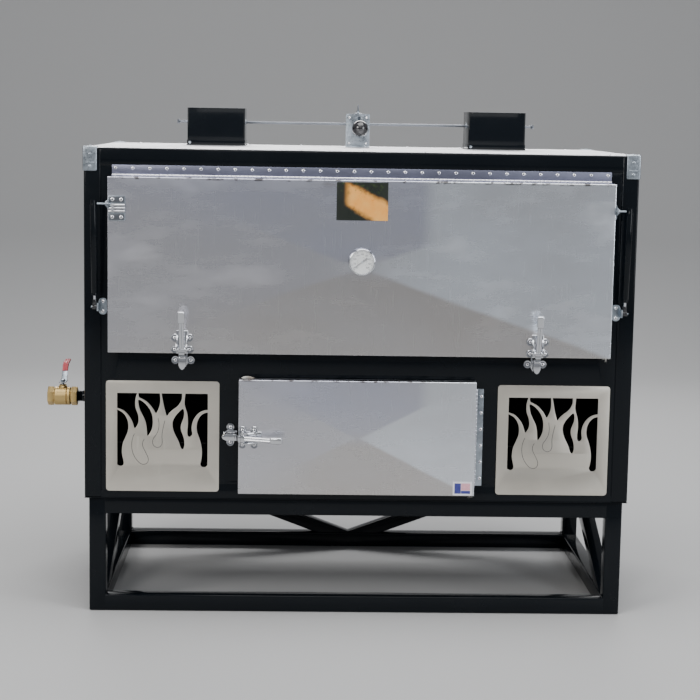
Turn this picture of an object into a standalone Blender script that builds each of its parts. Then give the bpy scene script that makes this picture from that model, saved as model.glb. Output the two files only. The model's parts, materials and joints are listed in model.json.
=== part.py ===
"""Insulated cabinet smoker oven on a square-tube stand.

Metres, +Z up, front towards -Y, +X to the right of someone facing the oven. The origin is the
underside centre of the stand's front foot rail. The upper door swings up on a full-width piano
hinge with two gas struts, the firebox door swings to the right, and two roof flues share one
damper shaft.
"""

import math

import bmesh
import bpy
from mathutils import Matrix, Vector

# Driving dimensions.
INCH = 0.0254
GAP = 0.0003  # between pieces that touch
SHEET = 0.002  # casing and liner sheet
PLATE = 0.003  # brackets, panels and the fascia
TUBE = 2.0 * INCH
TUBE_WALL = 0.003
BRACE = 1.75 * INCH

CABINET_WIDTH = 1.664
CABINET_HEIGHT = 1.064
CABINET_DEPTH = 36.0 * INCH
STAND_HEIGHT = 14.0 * INCH
STAND_INSET = 0.012  # of the stand inside the cabinet's outline
FASCIA_RECESS = 0.002
INSULATION = 0.053

DOOR_SIDE_MARGIN = 0.075  # from the door's edge to the cabinet's side
DOOR_WIDTH = CABINET_WIDTH - 2 * DOOR_SIDE_MARGIN
DOOR_HEIGHT = 0.525
DOOR_THICKNESS = 0.038
DOOR_SHEET = 0.0015
DOOR_TOP_DROP = 0.085  # below the cabinet's top
GASKET = 0.0067  # thickness between a door and the fascia
GASKET_WIDTH = 0.014
GASKET_INSET = 0.012
MOUTH_MARGIN = 0.036  # of an opening inside its door's outline

FIREBOX_DOOR_WIDTH = 0.718
FIREBOX_DOOR_HEIGHT = 0.350
FIREBOX_DOOR_LIFT = 0.026  # above the cabinet's underside
FIREBOX_OFFSET = -0.005
FIREBOX_DEPTH = 0.52

HINGE_RADIUS = 0.003
HINGE_LEAF = 0.0016
HINGE_LEAF_WIDTH = 0.030
FIREBOX_LEAF_WIDTH = 0.022
HINGE_FORWARD = 0.004  # of its axis in front of the cabinet's face
PIN_RADIUS = 0.0013
HINGE_LENGTH = DOOR_WIDTH - 0.019
FIREBOX_HINGE_LENGTH = FIREBOX_DOOR_HEIGHT - 0.050
KNUCKLES = 9
FIREBOX_KNUCKLES = 5

PANEL_WIDTH = 0.343
PANEL_HEIGHT = 0.340
PANEL_CORNER = 0.010
PANEL_SETIN = 0.237  # of a panel's middle from the cabinet's side
PANEL_MARGIN = 0.022  # of its opening inside its outline
PANEL_LIFT = 0.0235  # above the cabinet's underside

FLUE = 0.190
FLUE_TOP_RISE = 0.124  # above the roof
FLUE_SETIN = 0.364  # of a flue's middle from the cabinet's side
FLUE_SETBACK = 0.715  # of the flues' and shaft's middle behind the cabinet's face
FLUE_COLLAR = 0.017
FLUE_LIP = 0.0015  # of the collar outside the duct
SHAFT_RADIUS = 0.0045
SHAFT_RISE = 0.0775  # of the damper shaft above the roof
SHAFT_OVERHANG = 0.040
DAMPER_CHORD = 0.084
DAMPER_TILT = 15.0  # degrees at rest
LEVER_DROOP = 7.0
LEVER_LENGTH = 0.115
LEVER_RADIUS = 0.004
LEVER_X = 0.010
LEVER_BOSS = (0.009, 0.007)  # radius and half length
KNOB_RADIUS = 0.027

BRACKET_SIDES = (-0.034, 0.045)
BRACKET_REACH = 0.022  # of its uprights from the shaft's axis
BRACKET_RISE = 0.034  # of its lid above the shaft
BRACKET_FOOT = 0.028
BRACKET_SLOT = ((0.0045, -0.0160), (0.0155, 0.0255))
WING_SCREW_X = 0.006
WING_SCREW_TIP = 0.018  # above the shaft's axis, clear of the lever's boss

THERMOMETER_RADIUS = 0.0405
THERMOMETER_DROP = 0.242  # below the door's top
DIAL_RADIUS = 0.036
NEEDLE_ANGLE = 234.0  # degrees clockwise from twelve o'clock

LATCH_SETIN = 0.223  # of a latch's middle from the door's edge
LATCH_PIVOT_LIFT = 0.014  # above the door's lower edge
LATCH_PIVOT_OUT = 0.022  # in front of the door
LATCH_BASE_WIDTH = 0.069
LATCH_BASE_HEIGHT = 0.070
LATCH_LEVER_WIDTH = 0.022
LATCH_PIN = 0.004
LATCH_CHEEK = 0.006
LATCH_HUB = 0.0078
KEEPER_WIDTH = 0.072
KEEPER_BLOCK = (0.028, 0.050)  # width, and how far it stands out

STRUT_X = DOOR_WIDTH / 2 + 0.040
STRUT_TUBE = 0.010
STRUT_ROD = 0.0045
STRUT_EYE = 0.008
STRUT_TOP = (0.052, 0.084)  # forward of and below the main hinge's axis
STRUT_FOOT = (0.020, 0.394)
STRUT_TUBE_LENGTH = 0.285
STUD = 0.003
STRUT_PLATE_WIDTH = 0.050
STRUT_FOOT_PLATE_WIDTH = 0.026

DRAIN_RADIUS = 0.0175
DRAIN_BORE = 0.011
DRAIN_LIFT = 0.266  # above the cabinet's underside
DRAIN_SETBACK = 0.300  # behind the cabinet's face
DRAIN_REACH = 0.057  # of the nipple out of the cabinet's side
VALVE_LENGTH = 0.094
VALVE_RADIUS = 0.029
VALVE_HEX = 0.031
BALL_RADIUS = 0.0165
STEM_RADIUS = 0.0042
STEM_RISE = 0.044  # of the handle above the pipe's axis

CAP_WIDTH = 0.040
CAP_HEIGHT = 0.071
CAP_THICKNESS = 0.0025

RACK_REACH = 0.022
RACK_BAR = 0.006
PAN_RACK_RISE = 0.055
GRATE_RACK_RISE = 0.200
GRATE_THICKNESS = 0.008
GRATE_BORDER = 0.024
GRATE_BAR = 0.009
PAN_HEIGHT = 0.060
THROAT = (0.20, 0.24, 0.48)  # half width, front and back from the cabinet's face
ASH_LEDGE_RISE = 0.100
LEDGE = 0.018

# Places worked out from them.
HALF_WIDTH = CABINET_WIDTH / 2
FACE_Y = -TUBE / 2 - STAND_INSET
BACK_Y = FACE_Y + CABINET_DEPTH
BASE_Z = STAND_HEIGHT + GAP
TOP_Z = BASE_Z + CABINET_HEIGHT
ROOF_Z = TOP_Z - SHEET
FLOOR_Z = BASE_Z + SHEET
STAND_HALF = HALF_WIDTH - STAND_INSET
STAND_BACK_Y = BACK_Y - STAND_INSET - TUBE / 2
FASCIA_Y = FACE_Y + FASCIA_RECESS
FASCIA_BACK_Y = FASCIA_Y + PLATE
PANEL_CENTRE = HALF_WIDTH - PANEL_SETIN
FLUE_CENTRE = HALF_WIDTH - FLUE_SETIN
LATCH_CENTRE = DOOR_WIDTH / 2 - LATCH_SETIN
INNER_X = HALF_WIDTH - max(SHEET + INSULATION, TUBE + 4 * GAP)
LINER_TOP_Z = ROOF_Z - TUBE - 4 * GAP
LINER_BACK_Y = BACK_Y - SHEET - INSULATION

DOOR_TOP_Z = TOP_Z - DOOR_TOP_DROP
DOOR_LOW_Z = DOOR_TOP_Z - DOOR_HEIGHT
DOOR_BACK_Y = FASCIA_Y - GASKET - 2 * GAP
DOOR_FRONT_Y = DOOR_BACK_Y - DOOR_THICKNESS
HINGE_Y = FACE_Y - HINGE_FORWARD
HINGE_Z = DOOR_TOP_Z + HINGE_LEAF + HINGE_RADIUS * 0.8
LINER_FLOOR_Z = DOOR_LOW_Z - 0.025

FIREBOX_LOW_Z = BASE_Z + FIREBOX_DOOR_LIFT
FIREBOX_TOP_Z = FIREBOX_LOW_Z + FIREBOX_DOOR_HEIGHT
FIREBOX_LEFT = FIREBOX_OFFSET - FIREBOX_DOOR_WIDTH / 2
FIREBOX_RIGHT = FIREBOX_OFFSET + FIREBOX_DOOR_WIDTH / 2
FIREBOX_HINGE_X = FIREBOX_RIGHT + HINGE_LEAF + HINGE_RADIUS * 0.8
FIREBOX_MID_Z = (FIREBOX_LOW_Z + FIREBOX_TOP_Z) / 2

SHAFT_Y = FACE_Y + FLUE_SETBACK
SHAFT_Z = TOP_Z + SHAFT_RISE
FLUE_TOP_Z = TOP_Z + FLUE_TOP_RISE
PANEL_LOW_Z = BASE_Z + PANEL_LIFT
DRAIN_Y = FACE_Y + DRAIN_SETBACK
DRAIN_Z = BASE_Z + DRAIN_LIFT
VALVE_X = -HALF_WIDTH - DRAIN_REACH - VALVE_LENGTH / 2
LATCH_Z = DOOR_LOW_Z + LATCH_PIVOT_LIFT
LATCH_Y = DOOR_FRONT_Y - LATCH_PIVOT_OUT

# Flame-shaped windows of a panel, in millimetres from its lower left corner.
FLAMES = (
    ((34, 251), (52, 242), (64, 224), (68, 205), (60, 168), (49, 136), (48, 114), (54, 88), (44, 77), (34, 81)),
    ((34, 302), (94, 302), (89, 285), (88, 262), (98, 235), (98, 212), (86, 193), (78, 221), (62, 243),
     (34, 256)),
    ((97, 285), (100, 255), (119, 218), (125, 168), (139, 193), (142, 225), (132, 256), (116, 274)),
    ((101, 302), (163, 302), (165, 274), (151, 239), (137, 263), (122, 278), (101, 288)),
    ((170, 302), (230, 302), (226, 274), (217, 262), (193, 243), (184, 230), (175, 264)),
    ((234, 258), (236, 235), (226, 204), (228, 186), (238, 152), (235, 132), (225, 137), (218, 160),
     (203, 190), (203, 220), (217, 242)),
    ((242, 302), (308, 302), (308, 253), (286, 247), (267, 227), (259, 201), (262, 177), (253, 168),
     (246, 180), (248, 224), (239, 262)),
    ((307, 245), (290, 239), (275, 212), (276, 183), (288, 148), (291, 108), (285, 84), (296, 75), (307, 82)),
)

FINISHES = {
    "gloss_black": ((0.012, 0.014, 0.016), 0.16, 0.0),
    "stainless": ((0.42, 0.43, 0.46), 0.30, 1.0),
    "galvanised": ((0.36, 0.38, 0.40), 0.42, 1.0),
    "chrome": ((0.62, 0.63, 0.66), 0.10, 1.0),
    "fire_brown": ((0.05, 0.035, 0.03), 0.70, 0.6),
    "brass": ((0.62, 0.44, 0.18), 0.28, 1.0),
    "rope_white": ((0.62, 0.60, 0.55), 0.90, 0.0),
    "mineral_wool": ((0.50, 0.44, 0.30), 0.95, 0.0),
    "black_plastic": ((0.015, 0.015, 0.017), 0.22, 0.0),
    "red_vinyl": ((0.62, 0.10, 0.12), 0.45, 0.0),
    "clear_glass": ((0.90, 0.92, 0.93), 0.03, 0.0),
}


def clear_scene():
    for old in list(bpy.data.objects):
        bpy.data.objects.remove(old, do_unlink=True)


def new_collection(name):
    made = bpy.data.collections.new(name)
    bpy.context.scene.collection.children.link(made)
    return made


def new_material(name, colour, roughness, metallic):
    made = bpy.data.materials.new(name)
    made.use_nodes = True
    shader = made.node_tree.nodes["Principled BSDF"]
    shader.inputs["Base Color"].default_value = (*colour, 1.0)
    shader.inputs["Roughness"].default_value = roughness
    shader.inputs["Metallic"].default_value = metallic
    made.diffuse_color = (*colour, 1.0)
    return made


clear_scene()
PARTS = new_collection("cabinet_smoker_oven")
TOOLS = new_collection("cutters")
MATERIALS = {name: new_material(name, *values) for name, values in FINISHES.items()}


def mesh_of(make):
    """A mesh filled by a function that is given an empty bmesh."""
    mesh = bpy.data.meshes.new("shape")
    shape = bmesh.new()
    make(shape)
    shape.to_mesh(mesh)
    shape.free()
    return mesh


def box(low, high):
    size = Vector(high) - Vector(low)
    place = Matrix.Translation((Vector(high) + Vector(low)) / 2) @ Matrix.Diagonal((*size, 1.0))
    return mesh_of(lambda shape: bmesh.ops.create_cube(shape, size=1.0, matrix=place))


def along(start, end):
    """The matrix that lays +Z from one point to another, and the distance."""
    run = Vector(end) - Vector(start)
    turn = run.to_track_quat("Z", "Y").to_matrix().to_4x4()
    return Matrix.Translation((Vector(start) + Vector(end)) / 2) @ turn, run.length


def bar(start, end, size):
    """A square bar between two points, with a side of its section along X where it lies in the YZ plane."""
    place, length = along(start, end)
    grow = Matrix.Diagonal((size, size, length, 1.0))
    return mesh_of(lambda shape: bmesh.ops.create_cube(shape, size=1.0, matrix=place @ grow))


def rod(start, end, radius, end_radius=None, sides=16):
    place, length = along(start, end)
    last = radius if end_radius is None else end_radius
    return mesh_of(lambda shape: bmesh.ops.create_cone(
        shape, cap_ends=True, segments=sides, radius1=radius, radius2=last, depth=length, matrix=place))


def ball(centre, radius, sides=16):
    place = Matrix.Translation(centre)
    return mesh_of(lambda shape: bmesh.ops.create_uvsphere(
        shape, u_segments=sides, v_segments=sides // 2, radius=radius, matrix=place))


def fill_object(made, finish, pivot, local):
    (PARTS if finish else TOOLS).objects.link(made)
    if finish:
        made.data.materials.append(MATERIALS[finish])
    else:
        made.hide_render = True
        made.display_type = "WIRE"
    hang_on(made, pivot, local)


def hang_on(made, pivot, local):
    """Parents an object to an empty. Without local, its coordinates stay the world's."""
    made.parent = pivot
    if pivot and not local:
        made.matrix_parent_inverse = Matrix.Translation(-pivot.location)


def solid(mesh, name="tool", finish=None, pivot=None, add=(), cut=(), local=False):
    """One object: a mesh, the meshes joined to it and the meshes cut from it, in that order.

    With a finish it is a sub-part. Without one it is a hidden tool for another object's Booleans.
    """
    made = bpy.data.objects.new(name, mesh)
    fill_object(made, finish, pivot, local)
    for operation, tools in (("UNION", add), ("DIFFERENCE", cut)):
        for tool in tools:
            if not isinstance(tool, bpy.types.Object):
                tool = solid(tool)
            hang_on(tool, pivot, local)
            step = made.modifiers.new(operation.lower(), "BOOLEAN")
            step.operation = operation
            step.object = tool
    if finish:
        mesh.shade_smooth()
        mesh.set_sharp_from_angle(angle=math.radians(35))
    return made


def pivot_at(name, place, turn=(0.0, 0.0, 0.0)):
    """An empty on a joint's axis, which the moving pieces hang on."""
    made = bpy.data.objects.new(name, None)
    made.empty_display_size = 0.05
    made.location = place
    made.rotation_euler = turn
    PARTS.objects.link(made)
    return made


def flat_plate(name, outlines, thickness, finish):
    """A plate in the XZ plane from closed outlines in metres: the first is its edge, the rest are holes."""
    curve = bpy.data.curves.new(name, "CURVE")
    curve.dimensions = "2D"
    curve.fill_mode = "BOTH"
    curve.extrude = thickness / 2
    for outline in outlines:
        spline = curve.splines.new("POLY")
        spline.points.add(len(outline) - 1)
        spline.use_cyclic_u = True
        for point, (x, y) in zip(spline.points, outline):
            point.co = (x, y, 0.0, 1.0)
    curve.materials.append(MATERIALS[finish])
    made = bpy.data.objects.new(name, curve)
    PARTS.objects.link(made)
    return made


def rounded_outline(low, high, radius, steps=4):
    """A rectangle with round corners, as points that run anticlockwise."""
    points = []
    for quarter, (x, y) in enumerate(((1, 1), (0, 1), (0, 0), (1, 0))):
        centre_x = high[0] - radius if x else low[0] + radius
        centre_y = high[1] - radius if y else low[1] + radius
        for step in range(steps + 1):
            angle = math.radians(90 * (quarter + step / steps))
            points.append((centre_x + radius * math.cos(angle), centre_y + radius * math.sin(angle)))
    return points


def slots(low, high, count, bridge):
    """Outlines of equal slots side by side along X, with a bridge of metal between them."""
    pitch = (high[0] - low[0] + bridge) / count
    for index in range(count):
        left = low[0] + index * pitch
        right = left + pitch - bridge
        yield [(left, low[1]), (right, low[1]), (right, high[1]), (left, high[1])]


def shell(low, high, wall, open_low=(0, 0, 0), open_high=(0, 0, 0), through=0.02):
    """A box and the hollow that makes it a shell. A side marked open is cut right through."""
    inner_low = [a - through if is_open else a + wall for a, is_open in zip(low, open_low)]
    inner_high = [b + through if is_open else b - wall for b, is_open in zip(high, open_high)]
    return box(low, high), box(inner_low, inner_high)


# Stand -------------------------------------------------------------------------------------

def end_frame(name, y, braces=()):
    """A welded rectangle of tube across the stand, hollow inside, with two drain holes underneath."""
    half, top, side = STAND_HALF, STAND_HEIGHT, TUBE / 2
    arms = [bar(start, end, BRACE) for start, end in braces]
    bores = [bar(start, end, BRACE - 2 * TUBE_WALL) for start, end in braces]
    window = solid(box((-half + TUBE, y - TUBE, TUBE), (half - TUBE, y + TUBE, top - TUBE)), cut=arms)
    reach, wall = half - TUBE_WALL, TUBE - TUBE_WALL
    cavity = solid(
        box((-reach, y - side + TUBE_WALL, TUBE_WALL), (reach, y + side - TUBE_WALL, top - TUBE_WALL)),
        cut=[box((-half + wall, y - TUBE, wall), (half - wall, y + TUBE, top - wall))])
    drains = [rod((x, y, -0.01), (x, y, 0.01), 0.006, sides=8) for x in (-half / 2, half / 2)]
    solid(box((-half, y - side, 0), (half, y + side, top)), name, "gloss_black",
          cut=[window, cavity, *bores, *drains])


def stand():
    corner_x = STAND_HALF - TUBE / 2
    apex = (0.0, STAND_BACK_Y, TUBE * 0.6)
    arms = [(apex, (side * corner_x, STAND_BACK_Y, STAND_HEIGHT - TUBE * 0.6)) for side in (-1, 1)]
    end_frame("stand_front_frame", 0.0)
    end_frame("stand_rear_frame", STAND_BACK_Y, arms)
    start_y = TUBE / 2 + GAP
    end_y = STAND_BACK_Y - TUBE / 2 - GAP
    for side, word in ((-1, "left"), (1, "right")):
        x = side * corner_x
        rails = [
            (box((x - TUBE / 2, start_y, z), (x + TUBE / 2, end_y, z + TUBE)),
             box((x - TUBE / 2 + TUBE_WALL, start_y - TUBE, z + TUBE_WALL),
                 (x + TUBE / 2 - TUBE_WALL, end_y + TUBE, z + TUBE - TUBE_WALL)))
            for z in (0.0, STAND_HEIGHT - TUBE)]
        brace_start = (x, start_y + TUBE * 0.6, TUBE / 2)
        brace_end = (x, end_y - TUBE * 0.6, STAND_HEIGHT - TUBE / 2)
        solid(rails[0][0], f"stand_{word}_side_frame", "gloss_black",
              add=[rails[1][0], bar(brace_start, brace_end, BRACE)],
              cut=[rails[0][1], rails[1][1], bar(brace_start, brace_end, BRACE - 2 * TUBE_WALL)])


# Cabinet -----------------------------------------------------------------------------------

def mouth(left, right, low, high):
    """A tool that cuts an opening through the fascia."""
    return box((left, FACE_Y - TUBE, low), (right, FASCIA_BACK_Y + TUBE, high))


def front_frame():
    low, high = FLOOR_Z + GAP, ROOF_Z - GAP
    post_back = FACE_Y + TUBE
    posts = [box((x, FACE_Y, low), (x + TUBE, post_back, high)) for x in (-HALF_WIDTH, HALF_WIDTH - TUBE)]
    bores = [
        box((x + TUBE_WALL, FACE_Y + TUBE_WALL, low - TUBE),
            (x + TUBE - TUBE_WALL, post_back - TUBE_WALL, high + TUBE))
        for x in (-HALF_WIDTH, HALF_WIDTH - TUBE)]
    reach = HALF_WIDTH - TUBE / 2
    rail = box((-reach, FACE_Y, high - TUBE), (reach, post_back, high))
    rail_bore = box((-reach, FACE_Y + TUBE_WALL, high - TUBE + TUBE_WALL),
                    (reach, post_back - TUBE_WALL, high - TUBE_WALL))
    fascia_reach = HALF_WIDTH - TUBE + TUBE_WALL / 2
    fascia = box((-fascia_reach, FASCIA_Y, low), (fascia_reach, FASCIA_BACK_Y, high - TUBE + TUBE_WALL / 2))
    half_mouth = DOOR_WIDTH / 2 - MOUTH_MARGIN
    mouths = [
        mouth(-half_mouth, half_mouth, DOOR_LOW_Z + MOUTH_MARGIN, DOOR_TOP_Z - MOUTH_MARGIN),
        mouth(FIREBOX_LEFT + MOUTH_MARGIN, FIREBOX_RIGHT - MOUTH_MARGIN,
              FIREBOX_LOW_Z + MOUTH_MARGIN, FIREBOX_TOP_Z - MOUTH_MARGIN)]
    for side in (-1, 1):
        centre = side * PANEL_CENTRE
        reach = PANEL_WIDTH / 2 - PANEL_MARGIN
        mouths.append(mouth(centre - reach, centre + reach, PANEL_LOW_Z + PANEL_MARGIN,
                            PANEL_LOW_Z + PANEL_HEIGHT - PANEL_MARGIN))
    solid(posts[0], "front_frame", "gloss_black", add=[posts[1], rail, fascia],
          cut=[*bores, rail_bore, *mouths])


def flue_hole(side, z_low, z_high, grow):
    """A tool for the square hole that a flue passes through."""
    half = FLUE / 2 + grow
    x = side * FLUE_CENTRE
    return box((x - half, SHAFT_Y - half, z_low), (x + half, SHAFT_Y + half, z_high))


def casing():
    low, high = FLOOR_Z + GAP, ROOF_Z - GAP
    outer, inner = shell((-HALF_WIDTH, FACE_Y + TUBE + GAP, low), (HALF_WIDTH, BACK_Y, high), SHEET,
                         open_low=(0, 1, 1), open_high=(0, 0, 1))
    drain = rod((-HALF_WIDTH - 0.02, DRAIN_Y, DRAIN_Z), (-HALF_WIDTH + 0.02, DRAIN_Y, DRAIN_Z),
                DRAIN_RADIUS + 2 * GAP)
    solid(outer, "outer_casing", "gloss_black", cut=[inner, drain])
    solid(box((-HALF_WIDTH, FACE_Y, BASE_Z), (HALF_WIDTH, BACK_Y, FLOOR_Z)), "floor_panel", "gloss_black")
    holes = [flue_hole(side, ROOF_Z - 0.05, TOP_Z + 0.05, GAP) for side in (-1, 1)]
    roof = box((-HALF_WIDTH, FACE_Y, ROOF_Z), (HALF_WIDTH, BACK_Y, TOP_Z))
    solid(roof, "roof_panel", "stainless", cut=holes)


def oven_liner():
    front = FASCIA_BACK_Y + GAP
    low, high = (-INNER_X, front, LINER_FLOOR_Z), (INNER_X, LINER_BACK_Y, LINER_TOP_Z)
    outer, inner = shell(low, high, SHEET, open_low=(0, 1, 0))
    racks = []
    for rise in (PAN_RACK_RISE, GRATE_RACK_RISE):
        for side in (-1, 1):
            wall, tip = side * (INNER_X - SHEET / 2), side * (INNER_X - RACK_REACH)
            z = LINER_FLOOR_Z + rise
            racks.append(box((min(wall, tip), front + 0.03, z - RACK_BAR),
                             (max(wall, tip), LINER_BACK_Y - SHEET / 2, z)))
    hollow = solid(inner, cut=racks)
    holes = [flue_hole(side, LINER_TOP_Z - 0.02, LINER_TOP_Z + 0.02, -2 * SHEET) for side in (-1, 1)]
    throat = firebox_throat(-SHEET, LINER_FLOOR_Z - 0.02, LINER_FLOOR_Z + 0.02)
    drain_x = drain_drop_x()
    drain = rod((drain_x, DRAIN_Y, LINER_FLOOR_Z - 0.02), (drain_x, DRAIN_Y, LINER_FLOOR_Z + 0.02), DRAIN_BORE)
    solid(outer, "oven_liner", "stainless", cut=[hollow, *holes, throat, drain])


def drain_drop_x():
    return -INNER_X + 3 * DRAIN_RADIUS


def firebox_throat(grow, z_low, z_high):
    """The square heat passage between the firebox and the oven, grown on all sides."""
    half_x, front, back = THROAT
    return box((FIREBOX_OFFSET - half_x - grow, FACE_Y + front - grow, z_low),
               (FIREBOX_OFFSET + half_x + grow, FACE_Y + back + grow, z_high))


def insulation():
    half = HALF_WIDTH - SHEET - GAP
    outer = box((-half, FACE_Y + TUBE + 2 * GAP, LINER_FLOOR_Z), (half, BACK_Y - SHEET - GAP, ROOF_Z - GAP))
    room = box((-INNER_X - GAP, FACE_Y, LINER_FLOOR_Z - 0.02),
               (INNER_X + GAP, LINER_BACK_Y + GAP, LINER_TOP_Z + GAP))
    holes = [flue_hole(side, LINER_TOP_Z - 0.02, ROOF_Z + 0.02, 2 * GAP) for side in (-1, 1)]
    solid(outer, "insulation_blanket", "mineral_wool", cut=[room, *holes])


def firebox_liner():
    front = FASCIA_BACK_Y + GAP
    back = front + FIREBOX_DEPTH
    half = FIREBOX_DOOR_WIDTH / 2 - MOUTH_MARGIN + 0.012
    low = (FIREBOX_OFFSET - half, front, FLOOR_Z + GAP)
    high = (FIREBOX_OFFSET + half, back, FIREBOX_TOP_Z)
    outer, inner = shell(low, high, PLATE, open_low=(0, 1, 0))
    ledges = []
    for side in (-1, 1):
        wall = FIREBOX_OFFSET + side * (half - PLATE / 2)
        tip = FIREBOX_OFFSET + side * (half - LEDGE)
        z = FLOOR_Z + ASH_LEDGE_RISE
        ledges.append(box((min(wall, tip), front + 0.02, z - PLATE), (max(wall, tip), back - PLATE / 2, z)))
    hollow = solid(inner, cut=ledges)
    collar = firebox_throat(0.0, FIREBOX_TOP_Z - PLATE / 2, LINER_FLOOR_Z - GAP)
    passage = firebox_throat(-PLATE, FIREBOX_TOP_Z - 0.02, LINER_FLOOR_Z + 0.02)
    solid(outer, "firebox_liner", "fire_brown", add=[collar], cut=[hollow, passage])
    clear = half - PLATE - 2 * GAP
    z = FLOOR_Z + ASH_LEDGE_RISE + GAP
    lay_grate("fire_grate", FIREBOX_OFFSET, clear, (front + 0.03, back - 0.03), z, 14, "fire_brown")


def lay_grate(name, centre_x, half, ends, z, count, finish):
    """A slotted plate that lies flat between two ends along Y."""
    front, back = ends
    depth = back - front
    outline = rounded_outline((-half, 0.0), (half, depth), 0.008, steps=2)
    gaps = list(slots((-half + GRATE_BORDER, GRATE_BORDER), (half - GRATE_BORDER, depth - GRATE_BORDER), count,
                      GRATE_BAR))
    made = flat_plate(name, [outline, *gaps], GRATE_THICKNESS, finish)
    made.location = (centre_x, front, z + GRATE_THICKNESS / 2)


def oven_contents():
    reach = INNER_X - SHEET - 2 * GAP
    front = FASCIA_BACK_Y + 0.05
    back = LINER_BACK_Y - 0.05
    pan_z = LINER_FLOOR_Z + PAN_RACK_RISE + GAP
    outer, inner = shell((-reach, front + 0.06, pan_z), (reach, back - 0.06, pan_z + PAN_HEIGHT), SHEET,
                         open_high=(0, 0, 1))
    solid(outer, "water_pan", "galvanised", cut=[inner])
    lay_grate("cooking_grate", 0.0, reach, (front, back), LINER_FLOOR_Z + GRATE_RACK_RISE + GAP, 26, "chrome")


def corner_caps():
    """A bent guard over each top corner of the cabinet."""
    out, into = CAP_THICKNESS + GAP, CAP_WIDTH
    for side, x_word in ((-1, "left"), (1, "right")):
        for face, y_edge, y_word in ((-1, FACE_Y, "front"), (1, BACK_Y, "rear")):
            x_edge = side * HALF_WIDTH
            outer = box_between((x_edge + side * out, y_edge + face * out, TOP_Z + out),
                                (x_edge - side * into, y_edge - face * into, TOP_Z - CAP_HEIGHT))
            inner = box_between((x_edge + side * GAP, y_edge + face * GAP, TOP_Z + GAP),
                                (x_edge - side * 2 * into, y_edge - face * 2 * into, TOP_Z - 2 * CAP_HEIGHT))
            solid(outer, f"corner_cap_{x_word}_{y_word}", "galvanised", cut=[inner])


def box_between(corner, opposite):
    """A box from any two opposite corners."""
    low = [min(a, b) for a, b in zip(corner, opposite)]
    high = [max(a, b) for a, b in zip(corner, opposite)]
    return box(low, high)


def flame_panels():
    outline = rounded_outline((0.0, 0.0), (PANEL_WIDTH, PANEL_HEIGHT), PANEL_CORNER, steps=3)
    windows = [[(x / 1000, z / 1000) for x, z in flame] for flame in FLAMES]
    for side, word in ((-1, "left"), (1, "right")):
        made = flat_plate(f"flame_panel_{word}", [outline, *windows], PLATE, "stainless")
        made.rotation_euler = (math.pi / 2, 0.0, 0.0)
        made.location = (side * PANEL_CENTRE - PANEL_WIDTH / 2, FASCIA_Y - GAP - PLATE / 2, PANEL_LOW_Z)


# Doors -------------------------------------------------------------------------------------

def door_parts(prefix, low, high, pivot, holes=list):
    """Skin, inner panel and rope gasket of one door, given its front outline's corners."""
    left, bottom = low
    right, top = high
    wall = DOOR_SHEET
    panel_y = DOOR_BACK_Y - wall
    outer, inner = shell((left, DOOR_FRONT_Y, bottom), (right, panel_y - GAP, top), wall, open_high=(0, 1, 0))
    solid(outer, f"{prefix}_skin", "stainless", pivot, cut=[inner, *holes()])
    panel = box((left, panel_y, bottom), (right, DOOR_BACK_Y, top))
    solid(panel, f"{prefix}_inner_panel", "stainless", pivot, cut=holes())
    in_1, in_2 = GASKET_INSET, GASKET_INSET + GASKET_WIDTH
    rope = box((left + in_1, DOOR_BACK_Y + GAP, bottom + in_1),
               (right - in_1, DOOR_BACK_Y + GAP + GASKET, top - in_1))
    room = box((left + in_2, DOOR_BACK_Y - 0.02, bottom + in_2), (right - in_2, DOOR_BACK_Y + 0.04, top - in_2))
    solid(rope, f"{prefix}_gasket", "rope_white", pivot, cut=[room])


def knuckles(length, count, which):
    """Start and end along the hinge of each knuckle of one leaf, which 0 or 1, with a small space between."""
    pitch = length / count
    for index in range(which, count, 2):
        start = -length / 2 + index * pitch
        yield start + GAP, start + pitch - GAP


def hinge(prefix, length, count, door_pivot, upright, fixed_width):
    """A piano hinge in a local frame: the axis along X, the fixed leaf up the face, the door's leaf forward.

    Upright turns it so that the axis is vertical and the fixed leaf points to the right.
    """
    turn = (0.0, math.pi / 2, 0.0) if upright else (0.0, 0.0, 0.0)
    frame = pivot_at(f"{prefix}_hinge_axis", door_pivot.location, turn)
    half = length / 2
    behind = HINGE_FORWARD - GAP
    under = HINGE_Z - DOOR_TOP_Z - GAP
    fixed = box((-half, behind - HINGE_LEAF, -HINGE_RADIUS / 2), (half, behind, fixed_width))
    moving = box((-half, -HINGE_LEAF_WIDTH, -under), (half, HINGE_RADIUS / 2, -under + HINGE_LEAF))
    for name, leaf, which in (("fixed", fixed, 0), ("door", moving, 1)):
        barrels = [rod((a, 0, 0), (b, 0, 0), HINGE_RADIUS, sides=12) for a, b in knuckles(length, count, which)]
        room = [rod((a - 2 * GAP, 0, 0), (b + 2 * GAP, 0, 0), HINGE_RADIUS * 1.3, sides=12)
                for a, b in knuckles(length, count, 1 - which)]
        leaf_tool = solid(leaf, cut=room, pivot=frame, local=True)
        pin = rod((-half, 0, 0), (half, 0, 0), PIN_RADIUS, sides=8)
        bore = rod((-half - 0.01, 0, 0), (half + 0.01, 0, 0), PIN_RADIUS * 1.3, sides=8)
        joined, bored = ([pin], []) if name == "fixed" else ([], [bore])
        solid(barrels[0], f"{prefix}_hinge_leaf_{name}", "galvanised", frame, local=True,
              add=[*barrels[1:], leaf_tool, *joined], cut=bored)


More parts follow.
